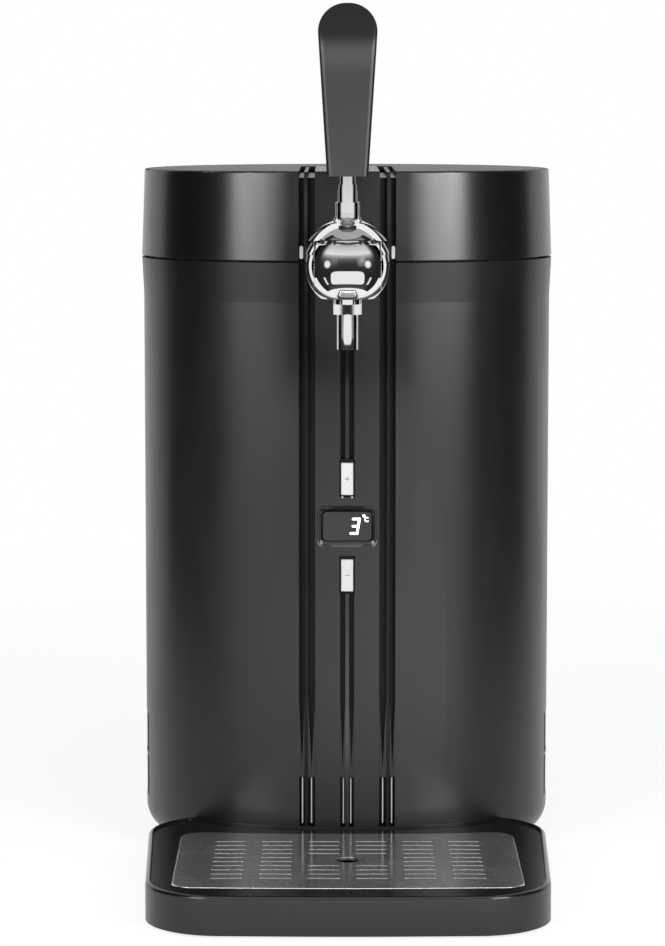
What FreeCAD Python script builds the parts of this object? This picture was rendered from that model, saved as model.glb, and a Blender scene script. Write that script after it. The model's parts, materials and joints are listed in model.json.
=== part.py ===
import FreeCAD, Part
import math
import os
import Sketcher
from FreeCAD import Placement, Rotation, Vector

# Counter-top beer dispenser for a small keg, as an assembly of separate pieces.
# Millimetres, +Z up, +X to the right of someone facing it, -Y towards that person.
# Pieces are laid out about the line where the housing is widest (y = 0) and are then
# moved together, so that the origin is the centre of the whole footprint at floor level.

doc = FreeCAD.newDocument("keg_dispenser")
sheet = doc.addObject("Spreadsheet::Sheet", "sizes")

sizes = {
    # housing plan: a flat front arc and a rounder rear arc, joined by tangent side arcs
    "halfWidth": 130.0,
    "frontDepth": 100.0,
    "frontRadius": 220.0,
    "rearDepth": 150.0,
    "rearTuck": 5.0,
    # housing heights
    "footHeight": 4.0,
    "seamHeight": 375.5,
    "seamGap": 1.5,
    "flareHeight": 24.5,
    "flareReach": 1.2,
    "bottomRound": 18.0,
    "shellWall": 2.5,
    "splitDepth": 70.0,
    "splitGap": 0.4,
    "pieceGap": 0.3,
    # lid
    "lidHeight": 54.7,
    "lidDraft": 2.0,
    "lidRound": 1.5,
    "linerSetback": 6.8,
    "linerWall": 2.5,
    "linerDrop": 14.7,
    "linerLift": 1.0,
    "linerFlange": 2.0,
    "lidBandReach": 60.0,
    # control band, its channels and ribs
    "bandHalf": 19.85,
    "bandBottom": 22.0,
    "channelWidth": 10.0,
    "channelDepth": 4.0,
    "ribInset": 0.5,
    "sideRibStart": 24.3,
    "sideRibWidth": 2.2,
    "spineWall": 2.5,
    "spineLap": 3.2,
    "centreSlotHalf": 4.3,
    "centreRibHalf": 1.25,
    # display and buttons
    "displayHeight": 212.8,
    "pocketWidth": 36.9,
    "pocketHeight": 25.8,
    "pocketDepth": 2.2,
    "pocketRound": 4.0,
    "windowWidth": 30.2,
    "windowHeight": 18.0,
    "windowThick": 2.4,
    "buttonWidth": 7.4,
    "buttonHeight": 19.9,
    "buttonInset": 0.6,
    "buttonThick": 2.4,
    "buttonTravel": 0.8,
    "buttonPlay": 0.35,
    "buttonRecess": 1.4,
    "plusHeight": 242.4,
    "minusHeight": 182.3,
    "boardDepth": 14.0,
    "boardThick": 1.6,
    # keg well, deck and insulation
    "wellCentre": 25.0,
    "wellRadius": 89.0,
    "wellWall": 1.5,
    "wellFloor": 115.0,
    "wellLip": 9.0,
    "deckDrop": 5.5,
    "deckThick": 3.5,
    "plenumTop": 93.2,
    # cooling unit
    "coldBlock": 56.0,
    "coldBlockThick": 20.0,
    "peltierSide": 40.0,
    "peltierThick": 3.8,
    "sinkSide": 90.0,
    "sinkBase": 6.0,
    "finHeight": 38.7,
    "finThick": 2.0,
    "finPitch": 10.0,
    "sinkScrew": 25.0,
    # fan
    "fanSide": 80.0,
    "fanThick": 25.0,
    "fanBore": 38.0,
    "fanHeight": 52.0,
    "fanHoleHalf": 35.75,
    "ventPlate": 4.0,
    "ventSetback": 10.5,
    "ventHalf": 37.6,
    # power inlet and switch
    "inletHeight": 113.0,
    "inletClearance": 10.5,
    "inletBack": 6.0,
    "inletAside": -19.0,
    "switchAside": 21.0,
    # base, feet and power board
    "footRadius": 9.0,
    "footInset": 48.0,
    "footSetback": 62.0,
    "rearFootInset": 70.0,
    "rearFootSetback": 75.0,
    "postRadius": 6.0,
    "postInset": 32.0,
    "postSetback": 65.0,
    "rearPostInset": 55.0,
    "rearPostSetback": 65.0,
    "intakeHalf": 28.0,
    "intakePitch": 9.0,
    "intakeWidth": 4.0,
    "powerBoardHalf": 42.0,
    "powerBoardSetback": 24.0,
    "powerBoardReach": 36.0,
    "boardPostInset": 6.0,
    "boardPostRadius": 3.0,
    "transformerWidth": 30.0,
    "transformerInset": 4.0,
    "transformerHeight": 23.0,
    "capacitorRadius": 8.0,
    "capacitorHeight": 25.0,
    # side vents
    "ventFlush": 0.3,
    "ventFront": -23.0,
    "ventBack": 47.0,
    "lowVentBottom": 28.0,
    "lowVentTop": 54.0,
    "highVentBottom": 56.5,
    "highVentTop": 82.0,
    # tap
    "tapForward": 129.0,
    "tapDrop": 0.1,
    "ballRadius": 25.5,
    "ballHalf": 20.0,
    "ballBottom": 19.7,
    "ballBack": 22.0,
    "domeRadius": 28.3,
    "domeCut": 16.3,
    "tapPlay": 0.35,
    "neckRadius": 7.35,
    "neckRise": 38.3,
    "stemRadius": 5.95,
    "stemLength": 10.7,
    "tipRadius": 5.2,
    "tipLength": 4.9,
    "handleLength": 103.6,
    "handleFootHalf": 12.5,
    "handleHalf": 17.85,
    "handleKneeDrop": 24.9,
    "nutRadius": 9.9,
    "nutDrop": 23.1,
    "nutThick": 6.2,
    "spoutRadius": 6.35,
    "spoutBore": 4.2,
    "spoutLength": 27.6,
    "shankRadius": 7.0,
    "pivotRadius": 3.0,
    "plungerRadius": 4.9,
    # hose and coupler
    "hoseArc": 103.0,
    "hoseRadius": 4.0,
    "hoseBore": 2.6,
    # hinge
    "hingeReach": 6.0,
    "hingeRise": 4.5,
    "knuckleRadius": 5.0,
    "hingePin": 2.5,
    "hingeInner": 29.6,
    "hingeOuter": 42.0,
    # drip tray and grille
    "trayFront": 291.7,
    "trayRear": 66.0,
    "trayFrontHalf": 116.5,
    "trayRearHalf": 124.8,
    "trayBow": 3.6,
    "trayBowRadius": 1500.0,
    "trayCorner": 45.0,
    "trayRearCorner": 48.0,
    "trayEdgeRound": 2.2,
    "trayHeight": 24.5,
    "trayFoot": 1.5,
    "trayFloor": 2.5,
    "trayRim": 3.0,
    "ledgeDrop": 1.3,
    "trayClearance": 0.4,
    "trayFootRadius": 7.0,
    "trayFootInset": 21.5,
    "trayFootSetback": 26.7,
    "trayFootReach": 64.0,
    "grilleWidth": 206.5,
    "grilleFront": 265.2,
    "grilleFrontBow": 3.6,
    "grilleRear": 111.2,
    "grilleRearBow": 8.6,
    "grilleRearRadius": 1000.0,
    "grilleCentre": 189.5,
    "grilleThick": 1.8,
    "grilleCorner": 13.0,
    "grilleHole": 7.3,
    "grilleShelf": 4.0,
    "slotLength": 19.5,
    "slotWidth": 3.0,
    "slotPitch": 11.0,
}


class Size:
    """A number together with the sheet expression that gives it"""

    def __init__(self, number, text):
        self.number = float(number)
        self.text = text

    def __add__(self, other):
        other = sized(other)
        return Size(self.number + other.number, f"({self.text} + {other.text})")

    def __sub__(self, other):
        other = sized(other)
        return Size(self.number - other.number, f"({self.text} - {other.text})")

    def __mul__(self, other):
        other = sized(other)
        return Size(self.number * other.number, f"({self.text} * {other.text})")

    def __truediv__(self, other):
        other = sized(other)
        return Size(self.number / other.number, f"({self.text} / {other.text})")

    def __radd__(self, other):
        return sized(other) + self

    def __rsub__(self, other):
        return sized(other) - self

    def __rmul__(self, other):
        return sized(other) * self

    def __neg__(self):
        return Size(-self.number, f"(-{self.text})")


def sized(value):
    """A plain number as a Size, and a Size as it is"""
    return value if isinstance(value, Size) else Size(value, f"({float(value)!r})")


def root(value):
    return Size(math.sqrt(value.number), f"sqrt({value.text})")


def slope(rise, run):
    """The angle in degrees whose tangent is rise over run"""
    ratio = rise / run
    return Size(math.degrees(math.atan(ratio.number)), f"atan({ratio.text})")


class Named:
    """The sheet's sizes, each as an attribute"""


S = Named()
for row, (alias, number) in enumerate(sizes.items(), start=1):
    sheet.set(f"A{row}", alias)
    sheet.set(f"B{row}", str(number))
    sheet.setAlias(f"B{row}", alias)
    setattr(S, alias, Size(number, f"sizes.{alias}"))
doc.recompute()

# Levels and depths that several pieces share
lidBottom = S.seamHeight + S.seamGap
lidTop = lidBottom + S.lidHeight
flareStart = S.seamHeight - S.flareHeight
deckTop = S.seamHeight - S.deckDrop
deckBottom = deckTop - S.deckThick
channelHalf = S.bandHalf + S.channelWidth
spineBack = S.channelDepth + S.spineWall
spineHalf = channelHalf + S.spineLap
bandFront = -S.frontDepth
rearRadius = S.halfWidth - S.rearTuck
ventRear = S.rearDepth - S.ventSetback
hingeDepth = S.rearDepth + S.hingeReach
hingeHeight = S.seamHeight + S.hingeRise
tapY = -S.tapForward
tapHeight = S.seamHeight - S.tapDrop
neckTop = tapHeight + S.neckRise
stemTop = neckTop + S.stemLength
handleBottom = stemTop + S.tipLength
handleTop = handleBottom + S.handleLength
handleKnee = handleTop - S.handleKneeDrop
nutTop = tapHeight - S.nutDrop
nutBottom = nutTop - S.nutThick
spoutBottom = nutTop - S.spoutLength
linerInner = S.linerSetback + S.linerWall
boardFront = bandFront + S.boardDepth
# The footprint runs from the middle of the tray's bow to the back of the hinge knuckles
bowSlope = S.trayBow / S.trayFrontHalf
bowLoss = S.trayBowRadius * (root(1 + bowSlope * bowSlope) - 1)
footprintShift = (S.trayFront - bowLoss - hingeDepth - S.knuckleRadius) / 2


def both(half):
    """A span that is centred on zero"""
    return (-half, half)


# ---- primitives, booleans and bodies ----

placedAt = {}


def put(thing, x, y, z, turn=None):
    """Bind a thing's place to the sheet, after an optional fixed turn"""
    if turn is not None:
        thing.Placement = Placement(Vector(), turn)
    placedAt[thing.Name] = (sized(x), sized(y), sized(z))
    for axis, value in zip("xyz", placedAt[thing.Name]):
        thing.setExpression(f"Placement.Base.{axis}", value.text)
    return thing


def box(name, x, y, z):
    """A block that spans x, y and z, each a pair of low and high"""
    made = doc.addObject("Part::Box", name)
    for side, (low, high) in zip(("Length", "Width", "Height"), (x, y, z)):
        made.setExpression(side, (sized(high) - low).text)
    return put(made, x[0], y[0], z[0])


along = {"x": Rotation(Vector(0, 1, 0), 90), "y": Rotation(Vector(1, 0, 0), -90), "z": Rotation()}


def rod(name, radius, span, at, axis="z"):
    """A cylinder along an axis; at holds the other two coordinates in x, y, z order"""
    made = doc.addObject("Part::Cylinder", name)
    made.setExpression("Radius", sized(radius).text)
    made.setExpression("Height", (sized(span[1]) - span[0]).text)
    spots = {"x": (span[0], at[0], at[1]), "y": (at[0], span[0], at[1]), "z": (at[0], at[1], span[0])}
    return put(made, *spots[axis], turn=along[axis])


def ball(name, radius, at):
    made = doc.addObject("Part::Sphere", name)
    made.setExpression("Radius", sized(radius).text)
    return put(made, *at)


def fuse(name, *pieces):
    made = doc.addObject("Part::MultiFuse", name)
    made.Shapes = list(pieces)
    made.Refine = True
    return made


def cut(name, base, *tools):
    made = doc.addObject("Part::Cut", name)
    made.Base = base
    made.Tool = tools[0] if len(tools) == 1 else fuse(name + "_tools", *tools)
    made.Refine = True
    return made


def common(name, first, second):
    made = doc.addObject("Part::Common", name)
    made.Base = first
    made.Tool = second
    made.Refine = True
    return made


def mirrored(name, source):
    """A copy on the other side of the YZ plane"""
    made = doc.addObject("Part::Mirroring", name)
    made.Source = source
    made.Normal = Vector(1, 0, 0)
    return made


def sketchOn(body, name, role="XY_Plane", offset=0):
    """A sketch on one of its body's own origin planes, offset along that plane's normal"""
    made = body.newObject("Sketcher::SketchObject", name)
    support = next(feature for feature in body.Origin.OriginFeatures if feature.Role == role)
    made.AttachmentSupport = (support, [""])
    made.MapMode = "FlatFace"
    made.setExpression("AttachmentOffset.Base.z", sized(offset).text)
    return made


def drive(sketch, kind, *where, value=None):
    """Add a constraint and, where it has a value, bind that value to the sheet"""
    if value is None:
        return sketch.addConstraint(Sketcher.Constraint(kind, *where))
    index = sketch.addConstraint(Sketcher.Constraint(kind, *where, value.number))
    sketch.setExpression(f"Constraints[{index}]", value.text)
    return index


def locate(sketch, geometry, point, x, y):
    """Hold a point of the sketch at x, y"""
    for kind, value, axis in (("DistanceX", sized(x), -2), ("DistanceY", sized(y), -1)):
        if value.number == 0:
            drive(sketch, "PointOnObject", geometry, point, axis)
        elif value.number > 0:
            drive(sketch, kind, -1, 1, geometry, point, value=value)
        else:
            drive(sketch, kind, geometry, point, -1, 1, value=-value)


def circle(sketch, radius, x, y):
    radius = sized(radius)
    centre = Vector(sized(x).number, sized(y).number, 0)
    index = sketch.addGeometry(Part.Circle(centre, Vector(0, 0, 1), radius.number), False)
    drive(sketch, "Radius", index, value=radius)
    locate(sketch, index, 3, x, y)


def polygon(sketch, corners):
    """A closed outline, anticlockwise; each corner is x, y and the radius that rounds it, or 0"""
    corners = [(sized(x), sized(y), sized(r)) for x, y, r in corners]
    points = [Vector(x.number, y.number, 0) for x, y, r in corners]
    count = len(corners)
    leave, arrive, arcs = [], [], []
    for i, (x, y, r) in enumerate(corners):
        back = (points[i - 1] - points[i]).normalize()
        ahead = (points[(i + 1) % count] - points[i]).normalize()
        half = back.getAngle(ahead) / 2
        reach = r.number / math.tan(half)
        arrive.append(points[i] + back * reach)
        leave.append(points[i] + ahead * reach)
        if r.number:
            centre = points[i] + (back + ahead).normalize() * (r.number / math.sin(half))
            ends = [math.atan2(p.y - centre.y, p.x - centre.x) for p in (arrive[i], leave[i])]
            leftTurn = back.cross(ahead).z < 0
            arcs.append((centre, ends if leftTurn else ends[::-1], leftTurn))
        else:
            arcs.append(None)
    lines = [
        sketch.addGeometry(Part.LineSegment(leave[i], arrive[(i + 1) % count]), False)
        for i in range(count)
    ]
    for i, (x, y, r) in enumerate(corners):
        before, after = lines[i - 1], lines[i]
        if arcs[i] is None:
            drive(sketch, "Coincident", before, 2, after, 1)
            locate(sketch, after, 1, x, y)
            continue
        centre, (first, last), leftTurn = arcs[i]
        whole = Part.Circle(centre, Vector(0, 0, 1), r.number)
        arc = sketch.addGeometry(Part.ArcOfCircle(whole, first, last), False)
        start, end = (1, 2) if leftTurn else (2, 1)
        drive(sketch, "Tangent", before, 2, arc, start)
        drive(sketch, "Tangent", arc, end, after, 1)
        drive(sketch, "Radius", arc, value=r)
        corner = sketch.addGeometry(Part.Point(points[i]), True)
        drive(sketch, "PointOnObject", corner, 1, before)
        drive(sketch, "PointOnObject", corner, 1, after)
        locate(sketch, corner, 1, x, y)


def rectangle(sketch, x, y, radius=0):
    corners = ((x[0], y[0]), (x[1], y[0]), (x[1], y[1]), (x[0], y[1]))
    polygon(sketch, [(px, py, radius) for px, py in corners])


def planOutline(sketch, inset):
    """The housing's plan, moved inwards by inset, as six tangent arcs"""
    inset = sized(inset)
    half = S.halfWidth - inset
    front = S.frontRadius - inset
    rear = rearRadius - inset
    frontCentre = S.frontRadius - S.frontDepth
    rearCentre = S.rearDepth - rearRadius

    def blend(end, centre):
        """A side arc's centre and the point where it meets the end arc of that radius and centre"""
        spare = end.number - half.number
        aside = (centre.number ** 2 - spare ** 2) / (2 * spare)
        way = Vector(aside, -centre.number, 0).normalize() * math.copysign(end.number, spare + aside)
        return aside, Vector(0, centre.number, 0) + way

    frontSide, frontTouch = blend(front, frontCentre)
    rearSide, rearTouch = blend(rear, rearCentre)
    right = Vector(half.number, 0, 0)

    def flip(point):
        return Vector(-point.x, point.y, 0)

    turns = [
        (Vector(rearSide, 0, 0), right, rearTouch),
        (Vector(0, rearCentre.number, 0), rearTouch, flip(rearTouch)),
        (Vector(-rearSide, 0, 0), flip(rearTouch), flip(right)),
        (Vector(-frontSide, 0, 0), flip(right), flip(frontTouch)),
        (Vector(0, frontCentre.number, 0), flip(frontTouch), frontTouch),
        (Vector(frontSide, 0, 0), frontTouch, right),
    ]
    arcs = []
    for centre, start, end in turns:
        radius = (start - centre).Length
        angles = [math.atan2(p.y - centre.y, p.x - centre.x) for p in (start, end)]
        whole = Part.Circle(centre, Vector(0, 0, 1), radius)
        arcs.append(sketch.addGeometry(Part.ArcOfCircle(whole, *angles), False))
    for i, arc in enumerate(arcs):
        drive(sketch, "Tangent", arc, 2, arcs[(i + 1) % 6], 1)
    for i in (0, 2, 3, 5):
        drive(sketch, "PointOnObject", arcs[i], 3, -1)
    for i in (1, 4):
        drive(sketch, "PointOnObject", arcs[i], 3, -2)
    drive(sketch, "DistanceX", -1, 1, arcs[0], 1, value=half)
    drive(sketch, "DistanceX", arcs[3], 1, -1, 1, value=half)
    drive(sketch, "Radius", arcs[1], value=rear)
    drive(sketch, "Radius", arcs[4], value=front)
    drive(sketch, "DistanceY", -1, 1, arcs[1], 3, value=rearCentre)
    drive(sketch, "DistanceY", -1, 1, arcs[4], 3, value=frontCentre)


def pad(body, name, sketch, length, reversed=False, midplane=False, taper=None):
    made = body.newObject("PartDesign::Pad", name)
    made.Profile = sketch
    made.setExpression("Length", sized(length).text)
    made.Reversed = reversed
    made.Midplane = midplane
    if taper is not None:
        made.setExpression("TaperAngle", taper.text)
    return made


def pocket(body, name, sketch, depth):
    made = body.newObject("PartDesign::Pocket", name)
    made.Profile = sketch
    made.setExpression("Length", sized(depth).text)
    return made


def edgesAt(shape, height):
    """The names of a shape's edges that lie level at a height"""
    return [
        f"Edge{i}"
        for i, edge in enumerate(shape.Edges, start=1)
        if all(abs(vertex.Z - height.number) < 0.001 for vertex in edge.Vertexes)
    ]


def dress(body, kind, name, base, edges, value):
    """A PartDesign Fillet or Chamfer of the named edges of a feature"""
    made = body.newObject("PartDesign::" + kind, name)
    made.Base = (base, edges)
    made.setExpression("Radius" if kind == "Fillet" else "Size", sized(value).text)
    return made


def spaced(body, name, feature, sketch, axis, length, count):
    """Repeat a feature along its sketch's horizontal (H_Axis) or vertical (V_Axis) axis"""
    made = body.newObject("PartDesign::LinearPattern", name)
    made.Originals = [feature]
    made.Direction = (sketch, [axis])
    made.setExpression("Length", sized(length).text)
    made.Occurrences = count
    body.Tip = made
    return made


def housingForm(name, inset):
    """The closed form of the housing below the seam, moved inwards by inset"""
    inset = sized(inset)
    body = doc.addObject("PartDesign::Body", name)
    base = S.footHeight + inset
    plan = sketchOn(body, name + "_plan", offset=base)
    planOutline(plan, inset)
    wall = pad(body, name + "_wall", plan, flareStart - base)
    doc.recompute()
    dress(body, "Fillet", name + "_round", wall, edgesAt(wall.Shape, base), S.bottomRound - inset)
    flarePlan = sketchOn(body, name + "_flare_plan", offset=flareStart)
    planOutline(flarePlan, inset)
    pad(body, name + "_flare", flarePlan, S.flareHeight, taper=slope(S.flareReach, S.flareHeight))
    return body


def lidForm(name, inset, drop=None):
    """The closed form of the lid, its side moved in by inset and its top lowered by drop"""
    inset = sized(inset)
    drop = inset if drop is None else drop
    body = doc.addObject("PartDesign::Body", name)
    plan = sketchOn(body, name + "_plan", offset=lidTop - drop)
    height = S.lidHeight - drop
    planOutline(plan, inset - S.flareReach + S.lidDraft * height / S.lidHeight)
    draft = slope(S.lidDraft, S.lidHeight)
    wall = pad(body, name + "_wall", plan, height, reversed=True, taper=draft)
    if S.lidRound.number > inset.number:
        doc.recompute()
        dress(body, "Fillet", name + "_round", wall, edgesAt(wall.Shape, lidTop - drop), S.lidRound - inset)
    return body


def slab(name, inset, low, high):
    """A plate or prism with the housing's plan, moved inwards by inset"""
    body = doc.addObject("PartDesign::Body", name)
    plan = sketchOn(body, name + "_plan", offset=low)
    planOutline(plan, inset)
    pad(body, name + "_pad", plan, sized(high) - low)
    return body


parts = {}


def subPart(node, thing, moved=False):
    """Name a finished piece, and move it from the widest line to the footprint's centre"""
    thing.Label = node
    parts[node] = thing
    if moved:
        return
    x, y, z = placedAt.get(thing.Name, (sized(0), sized(0), sized(0)))
    put(thing, x, y + footprintShift, z)


farAway = S.halfWidth + S.trayFront
aboveAll = handleTop

# ---- forms that the housing, lid and trims are cut from ----

lower = {
    "skin": housingForm("housing_skin", 0),
    "rib": housingForm("housing_rib", S.ribInset),
    "wall": housingForm("housing_wall", S.shellWall),
    "floor": housingForm("housing_channel", S.channelDepth),
    "back": housingForm("housing_back", spineBack),
}
upper = {
    "skin": lidForm("lid_skin", 0),
    "rib": lidForm("lid_rib", S.ribInset),
    "wall": lidForm("lid_wall", S.shellWall),
    "floor": lidForm("lid_channel", S.channelDepth),
    "back": lidForm("lid_back", spineBack),
}
shankHole = S.shankRadius + S.pieceGap + S.tapPlay
windowBack = bandFront + S.pocketDepth + S.windowThick
boardLow = S.minusHeight - S.buttonHeight
boardHigh = S.plusHeight + S.buttonHeight
standoffs = [(side * 16.0, z) for side in (-1, 1) for z in (boardLow + 5, boardHigh - 5)]
bracketFront = bandFront + 10.5
bracketBack = bracketFront + 3
bossHeight = tapHeight - 25.4
bosses = [(side * 15.0, bossHeight) for side in (-1, 1)]


def shankNotch(name):
    return rod(name, shankHole, (-farAway, 0), (0, tapHeight), "y")


# ---- housing shells ----

def shells():
    ring = cut("shell_ring", lower["skin"], lower["wall"])
    bottomInset = S.bottomRound + 2
    mouth = slab("shell_mouth", bottomInset, 0, S.footHeight + S.shellWall + 1)
    slot = box("band_slot", both(channelHalf), (-farAway, 0), (S.bandBottom, aboveAll))
    side = (S.halfWidth - 25, farAway)
    depth = (S.ventFront, S.ventBack)
    vents = [
        box("vent_low_right", side, depth, (S.lowVentBottom, S.lowVentTop)),
        box("vent_high_right", side, depth, (S.highVentBottom, S.highVentTop)),
    ]
    vents += [mirrored(vent.Name + "_left", vent) for vent in vents]
    open_ring = cut("shell_open", ring, mouth, slot, *vents)
    joint = (S.splitDepth - S.splitGap / 2, S.splitDepth + S.splitGap / 2)
    wide = both(farAway)
    front = common("front_shell", open_ring, box("front_half", wide, (-farAway, joint[0]), (0, aboveAll)))
    subPart("front_shell", front)
    rear = common("rear_blank", open_ring, box("rear_half", wide, (joint[1], farAway), (0, aboveAll)))
    half = S.ventHalf
    fanOpening = box(
        "fan_opening", both(half), (S.splitDepth + 20, farAway), (S.fanHeight - half, S.fanHeight + half)
    )
    through = (S.rearDepth - 12, S.rearDepth + 12)
    inlet = socketBox("inlet_opening", S.inletAside, 14.1, through, 10.1)
    switch = socketBox("switch_opening", S.switchAside, 9.6, through, 12.3)
    subPart("rear_cover", cut("rear_cover", rear, fanOpening, inlet, switch))


def socketBox(name, x, halfWidth, depth, halfHeight):
    """A block at the height of the inlet and switch, centred on x"""
    return box(name, (x - halfWidth, x + halfWidth), depth,
               (S.inletHeight - halfHeight, S.inletHeight + halfHeight))


shells()


def bandAndSpine(tag, forms, depthEnd, low, high, ribs, bandTools, spineTools, spineExtras=()):
    """The matt centre band, and the gloss channel piece behind it with its ribs"""
    depth = (-farAway, depthEnd)
    height = (low, high)
    skinRing = cut(tag + "_band_ring", forms["skin"], forms["floor"])
    strip = common(tag + "_band_strip", skinRing, box(tag + "_band_box", both(S.bandHalf), depth, height))
    band = cut(tag + "_band", strip, *bandTools)
    spineRing = cut(tag + "_spine_ring", forms["wall"], forms["back"])
    spineStrip = common(
        tag + "_spine_strip", spineRing, box(tag + "_spine_box", both(spineHalf), depth, height)
    )
    around = box(tag + "_channel_box", both(channelHalf), (-farAway, farAway), (0, aboveAll))
    channel = cut(tag + "_channel_void", around, forms["floor"])
    ribRing = cut(tag + "_rib_ring", forms["rib"], forms["back"])
    ribBars = fuse(tag + "_rib_bars", *ribs)
    ribStrips = common(tag + "_ribs", ribRing, ribBars)
    plate = cut(tag + "_spine_plate", spineStrip, channel)
    solid = fuse(tag + "_spine_solid", plate, ribStrips, *spineExtras)
    return band, cut(tag + "_spine", solid, *spineTools)


def sideRibs(tag, depthEnd, low, high):
    """The two bars that mark where the side channels keep a rib"""
    right = (S.sideRibStart, S.sideRibStart + S.sideRibWidth)
    left = (-right[1], -right[0])
    depth = (-farAway, depthEnd)
    return [
        box(tag + "_rib_right", right, depth, (low, high)),
        box(tag + "_rib_left", left, depth, (low, high)),
    ]


# ---- control band: display window, buttons and what they press ----

buttons = {"plus": S.plusHeight, "minus": S.minusHeight}


def displayPocket():
    """A four-sided recess that narrows down to the window, with rounded corners"""
    ahead = 0.6
    spread = (S.pocketWidth - S.windowWidth) / 2 / S.pocketDepth * ahead
    made = doc.addObject("Part::Wedge", "pocket_form")
    halves = (S.pocketWidth / 2 + spread, S.pocketHeight / 2 + spread)
    inner = (S.windowWidth / 2, S.windowHeight / 2)
    values = {
        "Xmin": -halves[0], "Xmax": halves[0], "Zmin": -halves[1], "Zmax": halves[1],
        "X2min": -inner[0], "X2max": inner[0], "Z2min": -inner[1], "Z2max": inner[1],
        "Ymin": sized(0), "Ymax": S.pocketDepth + ahead,
    }
    for name, value in values.items():
        made.setExpression(name, value.text)
    put(made, 0, bandFront - ahead, S.displayHeight)
    doc.recompute()
    slanted = [
        i for i, edge in enumerate(made.Shape.Edges, start=1)
        if abs(edge.Vertexes[0].Y - edge.Vertexes[-1].Y) > 0.1
    ]
    rounded = doc.addObject("Part::Fillet", "pocket_rounded")
    rounded.Base = made
    rounded.Edges = [(i, S.pocketRound.number, S.pocketRound.number) for i in slanted]
    return rounded


def controlBand():
    top = S.seamHeight
    slotDepth = (-farAway, bandFront + 2 * S.channelDepth)
    half = S.buttonHeight / 2
    gap = S.buttonRecess
    bandTools = [
        displayPocket(),
        box("window_hole", both(S.windowWidth / 2 + 0.1), slotDepth,
            (S.displayHeight - S.windowHeight / 2 - 0.1, S.displayHeight + S.windowHeight / 2 + 0.1)),
        box("slot_low", both(S.centreSlotHalf), slotDepth, (0, S.minusHeight - half)),
        box("slot_high", both(S.centreSlotHalf), slotDepth, (S.plusHeight + half, aboveAll)),
        shankNotch("band_notch"),
    ]
    spineTools = [
        box("display_hole", both(16.4), (-farAway, boardFront),
            (S.displayHeight - 10, S.displayHeight + 10)),
        shankNotch("spine_notch"),
    ]
    for name, height in buttons.items():
        bandTools.append(box(name + "_hole", both(S.buttonWidth / 2 + S.buttonPlay), slotDepth,
                             (height - half - gap, height + half + gap)))
        spineTools.append(box(name + "_stem_hole", both(1.9), (-farAway, boardFront),
                              (height - 1.9, height + 1.9)))
    centre = both(S.centreRibHalf)
    ribs = sideRibs("lower", 0, S.bandBottom, top) + [
        box("rib_low", centre, (-farAway, 0), (S.bandBottom, S.minusHeight - half - gap)),
        box("rib_high", centre, (-farAway, 0), (S.plusHeight + half + gap, top)),
    ]
    plateFront = bandFront + S.channelDepth + 1.5
    extras = [
        rod(f"standoff_{i}", 2.5, (plateFront, boardFront), spot, "y")
        for i, spot in enumerate(standoffs)
    ]
    extras += [
        rod(f"bracket_boss_{i}", 4, (plateFront, bracketFront), spot, "y")
        for i, spot in enumerate(bosses)
    ]
    spineTools += [
        rod(f"boss_hole_{i}", 1.5, (plateFront + 1, bracketFront + 1), spot, "y")
        for i, spot in enumerate(bosses)
    ]
    band, spine = bandAndSpine("lower", lower, 0, S.bandBottom, top, ribs, bandTools, spineTools, extras)
    subPart("control_band", band)
    subPart("front_spine", spine)


def display():
    half = S.windowWidth / 2
    window = box("display_window", both(half), (bandFront + S.pocketDepth, windowBack),
                 (S.displayHeight - S.windowHeight / 2, S.displayHeight + S.windowHeight / 2))
    subPart("display_window", window)
    module = box("display_module", both(16), (windowBack, boardFront),
                 (S.displayHeight - 9.6, S.displayHeight + 9.6))
    subPart("display_module", module)
    board = box("control_board", both(20), (boardFront, boardFront + S.boardThick), (boardLow, boardHigh))
    subPart("control_board", board)
    switchTop = boardFront - 4
    subPart("tact_switches", fuse("tact_switches", *[
        box(name + "_switch", both(3), (switchTop, boardFront), (height - 3, height + 3))
        for name, height in buttons.items()
    ]))
    capFront = bandFront + S.buttonInset
    capBack = capFront + S.buttonThick
    for name, height in buttons.items():
        cap = box(name + "_cap", both(S.buttonWidth / 2), (capFront, capBack),
                  (height - S.buttonHeight / 2, height + S.buttonHeight / 2))
        stem = box(name + "_stem", both(1.5), (capBack, switchTop - S.buttonTravel - 0.1),
                   (height - 1.5, height + 1.5))
        subPart(name + "_button", fuse(name + "_button", cap, stem))


controlBand()
display()


# ---- lid ----

def lid():
    depthEnd = S.lidBandReach
    slot = box("lid_slot", both(channelHalf), (-farAway, depthEnd), (0, aboveAll))
    subPart("lid_cover", cut("lid_cover", cut("lid_ring", upper["skin"], upper["wall"]), slot))
    band, spine = bandAndSpine(
        "upper", upper, depthEnd, lidBottom, lidTop, sideRibs("upper", depthEnd, lidBottom, lidTop),
        [shankNotch("lid_band_notch")], [shankNotch("lid_spine_notch")],
    )
    subPart("lid_band", band)
    subPart("lid_spine", spine)
    outer = lidForm("liner_outer", S.linerSetback, S.linerDrop)
    inner = lidForm("liner_inner", linerInner, S.linerDrop + S.linerWall)
    flangeLow = lidBottom + S.linerLift
    flangeHigh = flangeLow + S.linerFlange
    edge = slab("liner_flange", S.shellWall + S.pieceGap - S.flareReach + 0.1, flangeLow, flangeHigh)
    below = box("liner_trim", both(farAway), both(farAway), (0, flangeLow))
    spineRoom = box("liner_spine_room", both(spineHalf + S.pieceGap), (-farAway, spineCorner), (0, flangeHigh))
    flange = cut("liner_edge", edge, spineRoom)
    liner = cut("liner", fuse("liner_block", outer, flange), inner, below, shankNotch("liner_notch"))
    subPart("lid_inner_panel", liner)
    foam = slab("lid_insulation", linerInner, lidTop - S.linerDrop, lidTop - spineBack - S.pieceGap)
    subPart("lid_insulation", foam)


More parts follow.
